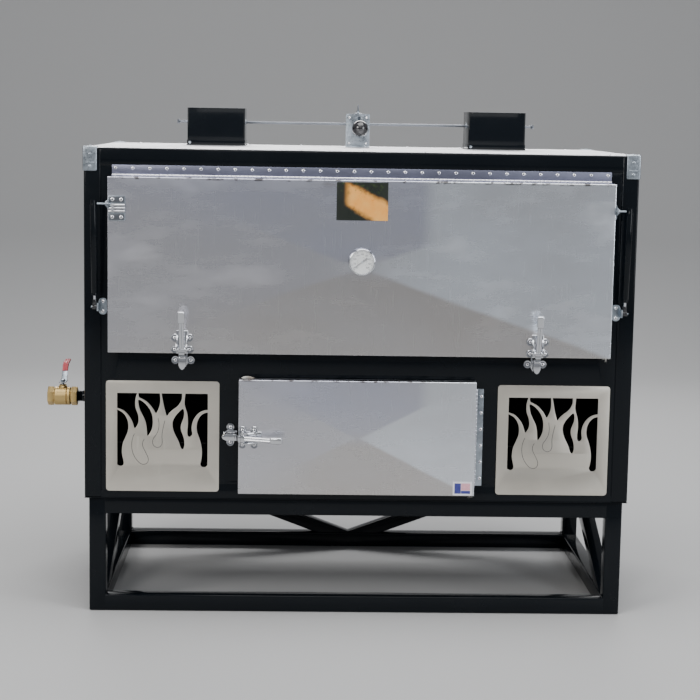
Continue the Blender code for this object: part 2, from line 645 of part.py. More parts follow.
def thermometer(pivot):
    centre = Vector((0.0, DOOR_FRONT_Y - GAP, DOOR_TOP_Z - THERMOMETER_DROP))
    front = centre.y - 0.022
    dial_y = front + 0.006

    def at(y):
        return (centre.x, y, centre.z)

    solid(rod(at(front), at(centre.y), THERMOMETER_RADIUS, sides=32), "thermometer_case", "chrome", pivot,
          add=[rod(at(centre.y - 0.002), at(DOOR_BACK_Y + 0.045), 0.004, sides=12)],
          cut=[rod(at(front - 0.01), at(dial_y), DIAL_RADIUS, sides=32)])
    solid(rod(at(front + 0.0005), at(front + 0.0025), DIAL_RADIUS - GAP, sides=32),
          "thermometer_lens", "clear_glass", pivot)
    needle_pivot = pivot_at("thermometer_needle_axis", at(dial_y - 0.0018),
                            (0.0, math.radians(NEEDLE_ANGLE), 0.0))
    half = 0.0004
    solid(box((-0.0008, -half, -0.012), (0.0008, half, 0.030)), "thermometer_needle", "black_plastic",
          needle_pivot, local=True,
          add=[box((-0.0025, -half, -0.013), (0.0025, half, -0.004)),
               rod((0, -0.0008, 0), (0, 0.0008, 0), 0.0035, sides=12)])


def thermometer_hole():
    z = DOOR_TOP_Z - THERMOMETER_DROP
    return [rod((0, DOOR_FRONT_Y - 0.02, z), (0, DOOR_BACK_Y + 0.02, z), 0.005, sides=12)]


def latch(word, place, turn=(0.0, 0.0, 0.0)):
    """A lift latch in a local frame: pivot at the origin along X, door face behind it at +Y, handle up."""
    pivot = pivot_at(f"{word}_lever_axis", place, turn)
    back = LATCH_PIVOT_OUT - GAP
    half, low = LATCH_BASE_WIDTH / 2, -LATCH_PIVOT_LIFT
    cheek = LATCH_LEVER_WIDTH / 2 + 3 * GAP
    high = low + LATCH_BASE_HEIGHT
    base = box((-half, back - 0.005, low), (half, back, high))
    cheeks = [box_between((side * cheek, -0.008, low + 0.006),
                          (side * (cheek + LATCH_CHEEK), back - 0.002, high - 0.012)) for side in (-1, 1)]
    pin_end = cheek + LATCH_CHEEK / 2
    pin = rod((-pin_end, 0, 0), (pin_end, 0, 0), LATCH_PIN, sides=12)
    solid(base, f"{word}_base", "galvanised", pivot, add=[*cheeks, pin], local=True)

    width = LATCH_LEVER_WIDTH / 2
    hub = rod((-width, 0, 0), (width, 0, 0), LATCH_HUB, sides=16)
    arm = bar((0, 0, 0), (0, -0.032, 0.090), 0.008)
    grip = box((-width + 0.001, -0.044, 0.082), (width - 0.001, -0.024, 0.120))
    toe = box((-width + 0.002, -0.003, -0.0155), (width - 0.002, 0.003, 0.0))
    solid(hub, f"{word}_lever", "chrome", pivot, add=[arm, grip, toe],
          cut=[rod((-width - 0.01, 0, 0), (width + 0.01, 0, 0), LATCH_PIN + 2 * GAP, sides=12)], local=True)

    face = LATCH_PIVOT_OUT + (FASCIA_Y - DOOR_FRONT_Y) - GAP
    plate_x, block_x, block_out = KEEPER_WIDTH / 2, KEEPER_BLOCK[0] / 2, KEEPER_BLOCK[1]
    plate = box((-plate_x, face - 0.004, low - 0.050), (plate_x, face, low - 0.005))
    block = box((-block_x, face - block_out, low - 0.050), (block_x, face - 0.002, low - 0.007))
    solid(plate, f"{word}_keeper", "galvanised", pivot, add=[block], local=True)


def struts(door_pivot):
    hinge_point = Vector((0.0, HINGE_Y, HINGE_Z))
    for side, word in ((-1, "left"), (1, "right")):
        x = side * STRUT_X
        top = hinge_point + Vector((x, -STRUT_TOP[0], -STRUT_TOP[1]))
        foot = hinge_point + Vector((x, -STRUT_FOOT[0], -STRUT_FOOT[1]))
        strut_pair(word, side, top, foot)
        inner = x - side * (STRUT_EYE + 0.001)
        if side < 0:
            plate_edge = -DOOR_WIDTH / 2 + 0.003
            plate = box((plate_edge, DOOR_FRONT_Y - GAP - PLATE, top.z - 0.050),
                        (plate_edge + STRUT_PLATE_WIDTH, DOOR_FRONT_Y - GAP, top.z + 0.024))
            arm = box((plate_edge - 0.010, top.y - 0.006, top.z - 0.012),
                      (plate_edge + 0.010, DOOR_FRONT_Y - GAP, top.z + 0.012))
        else:
            plate_edge = DOOR_WIDTH / 2 + GAP
            plate = box((plate_edge, DOOR_FRONT_Y + 0.002, top.z - 0.025),
                        (plate_edge + PLATE, DOOR_BACK_Y - 0.004, top.z + 0.018))
            arm = box((plate_edge, top.y - 0.006, top.z - 0.012),
                      (plate_edge + PLATE, DOOR_FRONT_Y + 0.006, top.z + 0.012))
        stud_end = side * (STRUT_X - STRUT_TUBE - 0.0012)
        stud = rod((plate_edge, top.y, top.z), (stud_end, top.y, top.z), STUD, sides=12)
        solid(plate, f"strut_upper_bracket_{word}", "galvanised", door_pivot, add=[arm, stud])
        foot_plate = box_between((inner, FACE_Y - GAP - PLATE, foot.z - 0.025),
                                 (inner - side * STRUT_FOOT_PLATE_WIDTH, FACE_Y - GAP, foot.z + 0.025))
        lug = box_between((inner, foot.y - 0.008, foot.z - 0.012),
                          (inner - side * 0.005, FACE_Y - GAP - PLATE / 2, foot.z + 0.012))
        pin = rod((inner - side * 0.002, foot.y, foot.z), (x + side * (STRUT_EYE + 0.003), foot.y, foot.z),
                  STUD, sides=12)
        solid(foot_plate, f"strut_lower_bracket_{word}", "galvanised", add=[lug, pin])


def strut_pair(word, side, top, foot):
    """The rod that turns on the lower stud, and the tube that slides on it."""
    run = (top - foot).normalized()
    rod_pivot = pivot_at(f"strut_rod_axis_{word}", foot)
    across = Vector((STRUT_EYE, 0.0, 0.0))
    solid(rod(foot - across, foot + across, STRUT_EYE, sides=16), f"strut_rod_{word}", "galvanised", rod_pivot,
          add=[rod(foot, top - run * 0.012, STRUT_ROD, sides=12)],
          cut=[rod(foot - 2 * across, foot + 2 * across, STUD + 2 * GAP, sides=12)])
    tube_pivot = pivot_at(f"strut_tube_axis_{word}", top)
    end = top + run * 0.010
    start = end - run * STRUT_TUBE_LENGTH
    solid(rod(start, end, STRUT_TUBE, sides=16), f"strut_tube_{word}", "gloss_black", tube_pivot,
          cut=[rod(start - run * 0.01, top - run * 0.008, STRUT_ROD + 2 * GAP, sides=12)])


# Roof --------------------------------------------------------------------------------------

def flues():
    low = LINER_TOP_Z + GAP
    for side, word in ((-1, "left"), (1, "right")):
        x = side * FLUE_CENTRE
        half = FLUE / 2
        outer, inner = shell((x - half, SHAFT_Y - half, low), (x + half, SHAFT_Y + half, FLUE_TOP_Z), PLATE,
                             open_low=(0, 0, 1), open_high=(0, 0, 1))
        lip = half + FLUE_LIP
        collar = box((x - lip, SHAFT_Y - lip, TOP_Z + GAP), (x + lip, SHAFT_Y + lip, TOP_Z + FLUE_COLLAR))
        slot_half = DAMPER_CHORD / 2 + 0.002
        seat = solid(inner, cut=[
            box_between((x - half, SHAFT_Y + face * slot_half, SHAFT_Z - PLATE / 2),
                        (x + half, SHAFT_Y + face * half, SHAFT_Z + PLATE / 2)) for face in (-1, 1)])
        bore = rod((x - FLUE, SHAFT_Y, SHAFT_Z), (x + FLUE, SHAFT_Y, SHAFT_Z), SHAFT_RADIUS + 3 * GAP, sides=16)
        solid(outer, f"flue_{word}", "gloss_black", add=[collar], cut=[seat, bore])


def damper():
    reach = FLUE_CENTRE + FLUE / 2 + SHAFT_OVERHANG
    centre = Vector((0.0, SHAFT_Y, SHAFT_Z))
    pivot = pivot_at("damper_shaft_axis", centre)
    tilt = math.radians(DAMPER_TILT)
    plate_size = (FLUE - 2 * PLATE - 0.004, 0.0025)
    plates = []
    for side in (-1, 1):
        chord = Vector((0.0, math.cos(tilt), -math.sin(tilt))) * DAMPER_CHORD / 2
        middle = centre + Vector((side * FLUE_CENTRE, 0.0, 0.0))
        place, length = along(middle - chord, middle + chord)
        turned = place @ Matrix.Diagonal((*plate_size, length, 1.0))
        plates.append(mesh_of(lambda shape, at=turned: bmesh.ops.create_cube(shape, size=1.0, matrix=at)))
    droop = math.radians(LEVER_DROOP)
    out = Vector((0.0, -math.cos(droop), -math.sin(droop)))
    root = centre + Vector((LEVER_X, 0.0, 0.0))
    boss_radius, boss_half = LEVER_BOSS
    across = Vector((boss_half, 0.0, 0.0))
    boss = rod(root - across, root + across, boss_radius, sides=16)
    lever = rod(root, root + out * (LEVER_LENGTH - KNOB_RADIUS * 0.5), LEVER_RADIUS, sides=12)
    nuts = [rod(centre + Vector((side * (reach - 0.006), 0, 0)), centre + Vector((side * reach, 0, 0)), 0.007,
                sides=6) for side in (-1, 1)]
    solid(rod(centre - Vector((reach - 0.001, 0, 0)), centre + Vector((reach - 0.001, 0, 0)), SHAFT_RADIUS),
          "damper_shaft", "galvanised", pivot, add=[*plates, boss, lever, *nuts])
    knob = root + out * LEVER_LENGTH
    hole_end = knob - out * (KNOB_RADIUS * 0.5 - GAP)
    solid(ball(knob, KNOB_RADIUS), "damper_knob", "black_plastic", pivot,
          cut=[rod(knob - out * 2 * KNOB_RADIUS, hole_end, LEVER_RADIUS + 2 * GAP, sides=12)])


def damper_bracket():
    left, right = BRACKET_SIDES
    reach = BRACKET_REACH
    top = SHAFT_Z + BRACKET_RISE
    low = TOP_Z + GAP
    front_y, back_y = SHAFT_Y - reach, SHAFT_Y + reach
    front = box((left, front_y - PLATE, low), (right, front_y, top))
    back = box((left, back_y, low), (right, back_y + PLATE, top))
    lid = box((left, front_y - PLATE, top - PLATE), (right, back_y + PLATE, top))
    feet = [box_between((left, SHAFT_Y + face * (reach + PLATE / 2), low),
                        (right, SHAFT_Y + face * (reach + BRACKET_FOOT), low + PLATE)) for face in (-1, 1)]
    (slot_left, slot_low), (slot_right, slot_high) = BRACKET_SLOT
    slot = box((slot_left, front_y - 0.02, SHAFT_Z + slot_low),
               (slot_right, front_y + 0.01, SHAFT_Z + slot_high))
    screw_x = WING_SCREW_X
    hole = rod((screw_x, SHAFT_Y, top - 0.02), (screw_x, SHAFT_Y, top + 0.02), 0.0036, sides=12)
    solid(lid, "damper_bracket", "galvanised", add=[front, back, *feet], cut=[slot, hole])
    pivot = pivot_at("wing_screw_axis", (screw_x, SHAFT_Y, top))
    tip = SHAFT_Z + WING_SCREW_TIP
    wings = [box_between((screw_x - 0.002, SHAFT_Y + side * 0.002, top + 0.006),
                         (screw_x + 0.002, SHAFT_Y + side * 0.019, top + 0.031)) for side in (-1, 1)]
    boss = rod((screw_x, SHAFT_Y, top + GAP), (screw_x, SHAFT_Y, top + 0.012), 0.005, sides=12)
    solid(rod((screw_x, SHAFT_Y, tip), (screw_x, SHAFT_Y, top + 0.010), 0.003, sides=12),
          "wing_screw", "galvanised", pivot, add=[boss, *wings])


# Drain -------------------------------------------------------------------------------------

def drain():
    drop_x = drain_drop_x()
    side_x = -HALF_WIDTH - DRAIN_REACH
    corner = (drop_x, DRAIN_Y, DRAIN_Z)
    top = (drop_x, DRAIN_Y, LINER_FLOOR_Z - GAP)
    inlet = (drop_x, DRAIN_Y, LINER_FLOOR_Z + 0.01)
    outlet = (side_x - 0.01, DRAIN_Y, DRAIN_Z)
    run = rod((drop_x + DRAIN_RADIUS * 0.8, DRAIN_Y, DRAIN_Z), (side_x + GAP, DRAIN_Y, DRAIN_Z), DRAIN_RADIUS)
    solid(rod(top, (drop_x, DRAIN_Y, DRAIN_Z - DRAIN_RADIUS), DRAIN_RADIUS), "drain_pipe", "gloss_black",
          add=[run],
          cut=[rod(inlet, corner, DRAIN_BORE), rod(corner, outlet, DRAIN_BORE)])

    left, right = VALVE_X - VALVE_LENGTH / 2, VALVE_X + VALVE_LENGTH / 2
    middle = (VALVE_X, DRAIN_Y, DRAIN_Z)
    stem_top = DRAIN_Z + STEM_RISE
    solid(rod((left, DRAIN_Y, DRAIN_Z), (right, DRAIN_Y, DRAIN_Z), VALVE_RADIUS), "valve_body", "brass",
          add=[rod((VALVE_X, DRAIN_Y, DRAIN_Z), (VALVE_X, DRAIN_Y, stem_top - 0.006), 0.011),
               *[rod((x, DRAIN_Y, DRAIN_Z), (x + 0.020, DRAIN_Y, DRAIN_Z), VALVE_HEX, sides=6)
                 for x in (left, right - 0.020)]],
          cut=[ball(middle, BALL_RADIUS + 2 * GAP),
               rod((left - 0.01, DRAIN_Y, DRAIN_Z), (right + 0.01, DRAIN_Y, DRAIN_Z), DRAIN_BORE),
               rod(middle, (VALVE_X, DRAIN_Y, stem_top + 0.02), STEM_RADIUS + 2 * GAP)])
    pivot = pivot_at("valve_handle_axis", middle)
    lift = (VALVE_X, DRAIN_Y + 0.030, stem_top + 0.002)
    far = (VALVE_X, DRAIN_Y + 0.075, stem_top + 0.050)
    end = (VALVE_X, DRAIN_Y + 0.140, stem_top + 0.054)
    solid(ball(middle, BALL_RADIUS), "valve_handle", "red_vinyl", pivot,
          add=[rod(middle, (VALVE_X, DRAIN_Y, stem_top + 0.008), STEM_RADIUS, sides=12),
               box((VALVE_X - 0.011, DRAIN_Y - 0.011, stem_top - 0.002),
                   (VALVE_X + 0.011, DRAIN_Y + 0.032, stem_top + 0.004)),
               bar(lift, far, 0.008), bar(far, end, 0.014)],
          cut=[rod((VALVE_X, DRAIN_Y - 0.04, DRAIN_Z), (VALVE_X, DRAIN_Y + 0.04, DRAIN_Z), DRAIN_BORE * 0.8)])


def main_door():
    pivot = pivot_at("main_door_axis", (0.0, HINGE_Y, HINGE_Z))
    half = DOOR_WIDTH / 2
    door_parts("main_door", (-half, DOOR_LOW_Z), (half, DOOR_TOP_Z), pivot, thermometer_hole)
    edge = DOOR_SHEET + GAP
    core = box((-half + edge, DOOR_FRONT_Y + edge, DOOR_LOW_Z + edge),
               (half - edge, DOOR_BACK_Y - edge, DOOR_TOP_Z - edge))
    solid(core, "main_door_insulation", "mineral_wool", pivot, cut=thermometer_hole())
    hinge("main", HINGE_LENGTH, KNUCKLES, pivot, upright=False, fixed_width=HINGE_LEAF_WIDTH)
    thermometer(pivot)
    for side, word in ((-1, "left"), (1, "right")):
        latch(f"latch_{word}", (side * LATCH_CENTRE, LATCH_Y, LATCH_Z))
    struts(pivot)


def firebox_door():
    pivot = pivot_at("firebox_door_axis", (FIREBOX_HINGE_X, HINGE_Y, FIREBOX_MID_Z))
    door_parts("firebox_door", (FIREBOX_LEFT, FIREBOX_LOW_Z), (FIREBOX_RIGHT, FIREBOX_TOP_Z), pivot)
    hinge("firebox", FIREBOX_HINGE_LENGTH, FIREBOX_KNUCKLES, pivot, upright=True, fixed_width=FIREBOX_LEAF_WIDTH)
    latch_place = (FIREBOX_LEFT + LATCH_PIVOT_LIFT, LATCH_Y, FIREBOX_MID_Z)
    latch("firebox_latch", latch_place, (0.0, math.pi / 2, 0.0))


stand()
front_frame()
casing()
oven_liner()
insulation()
firebox_liner()
oven_contents()
corner_caps()
flame_panels()
main_door()
firebox_door()
flues()
damper()
damper_bracket()
drain()
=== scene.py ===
"""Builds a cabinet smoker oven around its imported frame: painted tube, cross-broken stainless doors, piano
hinges, lift latches, gas struts, flame-cut panels, damped flues and a brass drain valve."""

import json
import math
import random

import bmesh
import bpy
from bpy.props import FloatProperty, FloatVectorProperty, IntProperty, PointerProperty
from mathutils import Matrix, Vector


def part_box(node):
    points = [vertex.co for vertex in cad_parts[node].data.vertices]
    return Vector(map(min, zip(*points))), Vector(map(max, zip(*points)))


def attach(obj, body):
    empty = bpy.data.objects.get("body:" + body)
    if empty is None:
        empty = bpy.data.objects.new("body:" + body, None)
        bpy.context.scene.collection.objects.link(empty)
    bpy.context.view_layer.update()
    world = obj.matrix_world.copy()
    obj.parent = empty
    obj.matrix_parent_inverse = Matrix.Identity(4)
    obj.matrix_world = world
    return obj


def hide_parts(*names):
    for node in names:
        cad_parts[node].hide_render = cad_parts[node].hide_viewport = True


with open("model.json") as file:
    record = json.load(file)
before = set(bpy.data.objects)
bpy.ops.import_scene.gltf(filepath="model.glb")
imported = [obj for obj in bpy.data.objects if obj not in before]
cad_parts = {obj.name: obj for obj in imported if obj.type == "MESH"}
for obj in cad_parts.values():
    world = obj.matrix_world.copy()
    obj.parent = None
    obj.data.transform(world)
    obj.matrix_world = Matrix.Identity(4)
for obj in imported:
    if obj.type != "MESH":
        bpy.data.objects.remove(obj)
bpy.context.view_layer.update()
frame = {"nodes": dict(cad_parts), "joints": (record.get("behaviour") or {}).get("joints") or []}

bl_info = {
    "name": "Cabinet Smoker Oven",
    "version": (1, 0, 0),
    "blender": (4, 5, 0),
    "location": "View3D > Sidebar > Smoker",
    "description": "Dresses the cabinet smoker's frame with finished sheet metal and fittings",
    "category": "Object",
}

JOINTS = {joint["name"]: joint for joint in frame["joints"]}
MM = 0.001
INCH = 0.0254
TOUCH = 0.0003
SIDES = ((-1, "left"), (1, "right"))
UPRIGHT = Matrix.Rotation(math.pi / 2, 4, "X")
ENDWISE = Matrix(((0, 0, 1, 0), (1, 0, 0, 0), (0, 1, 0, 0), (0, 0, 0, 1)))


def colour(name, default, description):
    return FloatVectorProperty(name=name, default=default, description=description, subtype="COLOR",
                               min=0.0, max=1.0, size=3)


def length(name, default, description):
    return FloatProperty(name=name, default=default, description=description, unit="LENGTH", min=0.0)


class FinishSettings(bpy.types.PropertyGroup):
    paint: colour("Paint", (0.0025, 0.004, 0.006), "Gloss paint of the cabinet and stand")
    sheet: colour("Stainless", (0.66, 0.66, 0.68), "Mill-finish stainless sheet")
    # The four facet colours are painted reflections: each slope of a cross-broken door gets the tone that its
    # reflection of the room would give.
    facet_left: colour("Left facet", (0.66, 0.66, 0.71), "Left slope of a cross-broken door")
    facet_top: colour("Top facet", (0.60, 0.62, 0.74), "Upper slope of a cross-broken door")
    facet_right: colour("Right facet", (0.88, 0.93, 1.0), "Right slope of a cross-broken door")
    facet_low: colour("Lower facet", (0.60, 0.57, 0.55), "Lower slope of a cross-broken door")
    # Soft and split settings place the edges between these painted reflections.
    soft_from: FloatProperty(name="Soft from", default=-0.6,
                             description="Where the left creases start to sharpen")
    soft_to: FloatProperty(name="Soft to", default=-0.1, description="Where the creases are crisp")
    split: FloatProperty(name="Split", default=0.195, unit="LENGTH",
                         description="Where the upper facet gives way")
    panel: colour("Flame panel", (0.72, 0.68, 0.60), "Warm stainless of the flame panels")
    leaf: colour("Hinge leaf", (0.29, 0.30, 0.40), "Plain steel of the piano hinges")
    # The screw colour also serves as the painted highlight along the hinge knuckles.
    screw: colour("Screw head", (0.97, 0.97, 1.0), "Bright plating of the screw heads")
    shaft: colour("Shaft", (0.20, 0.215, 0.24), "Dull steel of the damper shaft")
    zinc: colour("Zinc", (0.42, 0.47, 0.52), "Bright zinc of hinges and brackets")
    chrome: colour("Chrome", (0.88, 0.89, 0.91), "Chrome of the latches and the bezel")
    brass: colour("Brass", (0.86, 0.63, 0.22), "Valve body")
    vinyl: colour("Vinyl", (0.80, 0.20, 0.27), "Valve grip")


class HingeSettings(bpy.types.PropertyGroup):
    knuckle: length("Knuckle", 0.5 * INCH, "Length of one knuckle")
    screw_pitch: length("Screw pitch", 2 * INCH, "Distance between screws along a leaf")
    screw_radius: length("Screw head", 4.8 * MM, "Radius of a screw head")
    main_leaf: length("Oven door leaf", 30 * MM, "Width of the upper hinge's fixed leaf")
    firebox_leaf: length("Firebox leaf", 22 * MM, "Width of the side hinge's fixed leaf")


class SheetSettings(bpy.types.PropertyGroup):
    edge_round: length("Edge round", 2.2 * MM, "Round of a folded sheet's edge")
    tube_round: length("Tube round", 4.5 * MM, "Corner radius of the square tube")
    cross_break: length("Cross break", 1.4 * MM, "Rise of a door's middle above its edges")


class DialSettings(bpy.types.PropertyGroup):
    marks: IntProperty(name="Marks", default=50, min=5, description="Marks on the outer scale")
    figures: IntProperty(name="Figures", default=9, min=2, description="Numbers on the dial")
    sweep: FloatProperty(name="Sweep", default=math.radians(270), subtype="ANGLE",
                         description="Angle of the scale")


class StageSettings(bpy.types.PropertyGroup):
    lens: FloatProperty(name="Lens", default=90.05, unit="CAMERA", description="Focal length in millimetres")
    pitch: FloatProperty(name="Pitch", default=math.radians(7.571), subtype="ANGLE",
                         description="Looking down")
    yaw: FloatProperty(name="Yaw", default=math.radians(-1.778), subtype="ANGLE", description="Turned left")
    roll: FloatProperty(name="Roll", default=math.radians(0.969), subtype="ANGLE",
                        description="Tilt of the view")
    floor: colour("Floor", (0.47, 0.47, 0.47), "Floor and backdrop")


GROUPS = {
    "smoker_finish": FinishSettings,
    "smoker_hinge": HingeSettings,
    "smoker_sheet": SheetSettings,
    "smoker_dial": DialSettings,
    "smoker_stage": StageSettings,
}


def settings(name):
    return getattr(bpy.context.scene, f"smoker_{name}")


# Shader expressions -----------------------------------------------------------------------

class Signal:
    """A socket that takes part in Python expressions, each of which adds its Math node."""

    def __init__(self, finish, socket):
        self.finish = finish
        self.socket = socket

    def maths(self, operation, *others, clamp=False):
        return self.finish.node("ShaderNodeMath", {"operation": operation, "use_clamp": clamp}, self,
                                *others)

    def flipped(self, operation, first):
        return self.finish.node("ShaderNodeMath", {"operation": operation}, first, self)

    def __add__(self, other):
        return self.maths("ADD", other)

    def __sub__(self, other):
        return self.maths("SUBTRACT", other)

    def __mul__(self, other):
        return self.maths("MULTIPLY", other)

    def __truediv__(self, other):
        return self.maths("DIVIDE", other)

    def __rsub__(self, other):
        return self.flipped("SUBTRACT", other)

    def __neg__(self):
        return self.maths("MULTIPLY", -1.0)

    def __abs__(self):
        return self.maths("ABSOLUTE")

    __radd__ = __add__
    __rmul__ = __mul__

    def smooth(self, low, high):
        """0 below low and 1 above high, with a soft step between them."""
        return self.finish.node("ShaderNodeMapRange", {"interpolation_type": "SMOOTHSTEP"}, self, low, high)


class Finish:
    """One material: a Principled shader, and expressions that feed its sockets."""

    def __init__(self, name, base, roughness, metallic=0.0, **constants):
        self.material = bpy.data.materials.new(name)
        self.material.use_nodes = True
        self.tree = self.material.node_tree
        self.shader = self.tree.nodes["Principled BSDF"]
        self.feed("Base Color", base)
        self.feed("Roughness", roughness)
        self.feed("Metallic", metallic)
        for socket, value in constants.items():
            self.feed(socket.replace("_", " "), value)

    def plug(self, socket, value):
        if isinstance(value, Signal):
            self.tree.links.new(value.socket, socket)
        elif hasattr(value, "__len__") and len(value) == 3 and socket.type == "RGBA":
            socket.default_value = (*value, 1.0)
        else:
            socket.default_value = value

    def feed(self, name, value):
        self.plug(self.shader.inputs[name], value)

    def node(self, kind, options=None, *values, output=0, **named):
        """Adds a node: its settings first, then the values or links of its sockets, by place or by name."""
        made = self.tree.nodes.new(kind)
        for option, value in (options or {}).items():
            setattr(made, option, value)
        for socket, value in zip(made.inputs, values):
            self.plug(socket, value)
        for socket, value in named.items():
            self.plug(made.inputs[socket.replace("_", " ")], value)
        return Signal(self, made.outputs[output])

    def place(self, stretch=(1.0, 1.0, 1.0)):
        where = self.node("ShaderNodeTexCoord", output=3)
        return self.node("ShaderNodeVectorMath", {"operation": "MULTIPLY"}, where, stretch)

    def axes(self):
        parts = self.node("ShaderNodeSeparateXYZ", None, self.place())
        return parts, Signal(self, parts.socket.node.outputs[1]), Signal(self, parts.socket.node.outputs[2])

    def noise(self, scale, detail=3.0, rough=0.5, stretch=(1.0, 1.0, 1.0)):
        return self.node("ShaderNodeTexNoise", None, Vector=self.place(stretch), Scale=scale, Detail=detail,
                         Roughness=rough)

    def cells(self, scale, stretch=(1.0, 1.0, 1.0)):
        return self.node("ShaderNodeTexVoronoi", None, Vector=self.place(stretch), Scale=scale)

    def blend(self, amount, first, second):
        """A colour between two, by a signal from 0 to 1."""
        made = self.tree.nodes.new("ShaderNodeMix")
        made.data_type = "RGBA"
        sockets = [socket for socket in made.inputs if socket.enabled]
        for socket, value in zip(sockets, (amount, first, second)):
            self.plug(socket, value)
        return Signal(self, next(socket for socket in made.outputs if socket.enabled))

    def bump(self, height, strength, distance):
        normal = self.node("ShaderNodeBump", None, Strength=strength, Distance=distance, Height=height)
        self.feed("Normal", normal)


def dimmed(values, share):
    return tuple(value * share for value in values)


def gloss_paint(name):
    base = tuple(settings("finish").paint)
    made = Finish(name, base, 0.14, Coat_Roughness=0.04, IOR=1.22)
    dust = made.noise(2.3, 5.0, 0.6).smooth(0.45, 0.78)
    fine = made.noise(60.0, 3.0, 0.6).smooth(0.35, 0.75)
    made.feed("Base Color", made.blend(dust * 0.35, base, (0.012, 0.014, 0.016)))
    made.feed("Roughness", dust * 0.10 + fine * 0.05 + 0.10)
    made.feed("Coat Weight", 0.14 - dust * 0.08)
    made.bump(made.noise(140.0, 2.0) * 0.6 + made.noise(9.0, 2.0) * 2.0, 0.10, 0.0006)
    return made.material


def scratches(made, scale, stretch):
    """Fine parallel grain of rolled sheet, and a few stray marks."""
    grain = made.noise(scale, 4.0, 0.7, stretch)
    marks = made.noise(scale * 0.4, 2.0, 0.5, (stretch[2], stretch[1], stretch[0])).smooth(0.66, 0.72)
    return grain, marks


def stainless(name, base=None, rough=0.24):
    base = base or tuple(settings("finish").sheet)
    made = Finish(name, base, rough, 1.0)
    grain, marks = scratches(made, 22.0, (1.0, 1.0, 26.0))
    cloud = made.noise(3.0, 4.0)
    made.feed("Base Color", made.blend(cloud.smooth(0.35, 0.7), dimmed(base, 0.88), dimmed(base, 1.06)))
    made.feed("Roughness", grain * 0.12 + marks * 0.12 + rough - 0.05)
    made.bump(grain + marks * 0.6, 0.12, 0.0004)
    return made.material


def cross_broken(name, node):
    """Stainless sheet creased from corner to corner, each slope painted with the tone of its reflection."""
    look = settings("finish")
    low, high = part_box(node)
    middle, half = (low + high) / 2, (high - low) / 2
    made = Finish(name, look.sheet, 0.26, 1.0)
    x, _, z = made.axes()
    warp = (made.noise(2.6, 2.0) - 0.5) * 0.10
    across, up = (x - middle.x) / half.x, (z - middle.z) / half.z
    soft = across.smooth(look.soft_from, look.soft_to)
    crisp = (abs(across) - abs(up) + warp).smooth(-0.035, 0.035)
    vague = (abs(across) - abs(up) + warp * 3.0).smooth(-0.55, 0.55)
    side = crisp * soft + vague * (1.0 - soft)
    # Painted reflections: the left and right, upper and lower slopes each take their reflection's tone.
    ends = made.blend(across.smooth(-0.2, 0.2), tuple(look.facet_left), tuple(look.facet_right))
    edges = made.blend(up.smooth(-0.2, 0.2), tuple(look.facet_low), tuple(look.facet_top))
    slopes = made.blend(side, edges, ends)
    # Painted reflection: the bright right-hand tone reaches past the split in the upper half.
    beyond = (x + warp * 0.4).smooth(look.split - 0.03, look.split + 0.03) * up.smooth(-0.1, 0.12)
    slopes = made.blend(beyond, slopes, tuple(look.facet_right))
    cloud = made.noise(2.2, 5.0, 0.55, (1.0, 1.0, 1.8)).smooth(0.3, 0.72)
    tone = made.blend(cloud * 0.55, slopes, tuple(look.sheet))
    stain = made.noise(5.0, 5.0, 0.7, (1.0, 1.0, 2.4)).smooth(0.60, 0.74) * (up.smooth(0.86, 1.0) * 0.4)
    tone = made.blend(stain, tone, (0.22, 0.17, 0.12))
    # A dotted dark band just below the top edge: painted shadow under the hinge knuckles, with some dirt.
    spots = made.noise(48.0, 3.0, 0.6, (0.7, 1.0, 1.0)).smooth(0.52, 0.64) * up.smooth(0.965, 0.985)
    made.feed("Base Color", made.blend(spots * 0.85, tone, (0.07, 0.055, 0.045)))
    grain, marks = scratches(made, 18.0, (1.0, 1.0, 34.0))
    smear = made.noise(7.0, 4.0, 0.6, (0.6, 1.0, 1.6)).smooth(0.45, 0.8)
    made.feed("Roughness", grain * 0.06 + smear * 0.10 + marks * 0.03 + 0.23)
    made.bump(grain * 0.4 + made.noise(1.7, 1.0) * 9.0 + marks * 0.4, 0.08, 0.0006)
    return made.material


def door_sheet(name):
    return cross_broken(name, "main_door_skin")


def hatch_sheet(name):
    return cross_broken(name, "firebox_door_skin")


def panel_sheet(name):
    return stainless(name, tuple(settings("finish").panel), 0.34)


# Bright steel for the roof is a guess at its material. Its pale colour partly stands in for a painted
# reflection of the sky at a grazing angle.
def roof_steel(name):
    return stainless(name, (0.80, 0.80, 0.82), 0.50)


def liner_sheet(name):
    made = Finish(name, (0.34, 0.31, 0.28), 0.42, 0.9)
    soot = made.noise(3.0, 6.0, 0.65).smooth(0.40, 0.68)
    made.feed("Base Color", made.blend(soot, (0.42, 0.38, 0.33), (0.08, 0.06, 0.045)))
    made.feed("Roughness", soot * 0.30 + 0.30)
    made.bump(made.noise(30.0, 4.0), 0.15, 0.0006)
    return made.material


def zinc(name):
    base = tuple(settings("finish").zinc)
    made = Finish(name, base, 0.30, 1.0)
    spangle = made.cells(170.0)
    blotch = made.noise(26.0, 4.0, 0.6)
    made.feed("Base Color", made.blend(blotch.smooth(0.38, 0.66), dimmed(base, 0.72), dimmed(base, 1.08)))
    made.feed("Roughness", spangle * 0.22 + blotch * 0.14 + 0.16)
    made.bump(spangle * 0.4 + made.noise(320.0, 2.0), 0.14, 0.0004)
    return made.material


def plain_steel(name, base, rough):
    made = Finish(name, base, rough, 1.0)
    cloud = made.noise(9.0, 4.0, 0.6).smooth(0.35, 0.7)
    made.feed("Base Color", made.blend(cloud, dimmed(base, 0.85), dimmed(base, 1.05)))
    made.feed("Roughness", made.noise(150.0, 3.0) * 0.14 + rough - 0.06)
    made.bump(made.noise(260.0, 2.0), 0.10, 0.0003)
    return made.material


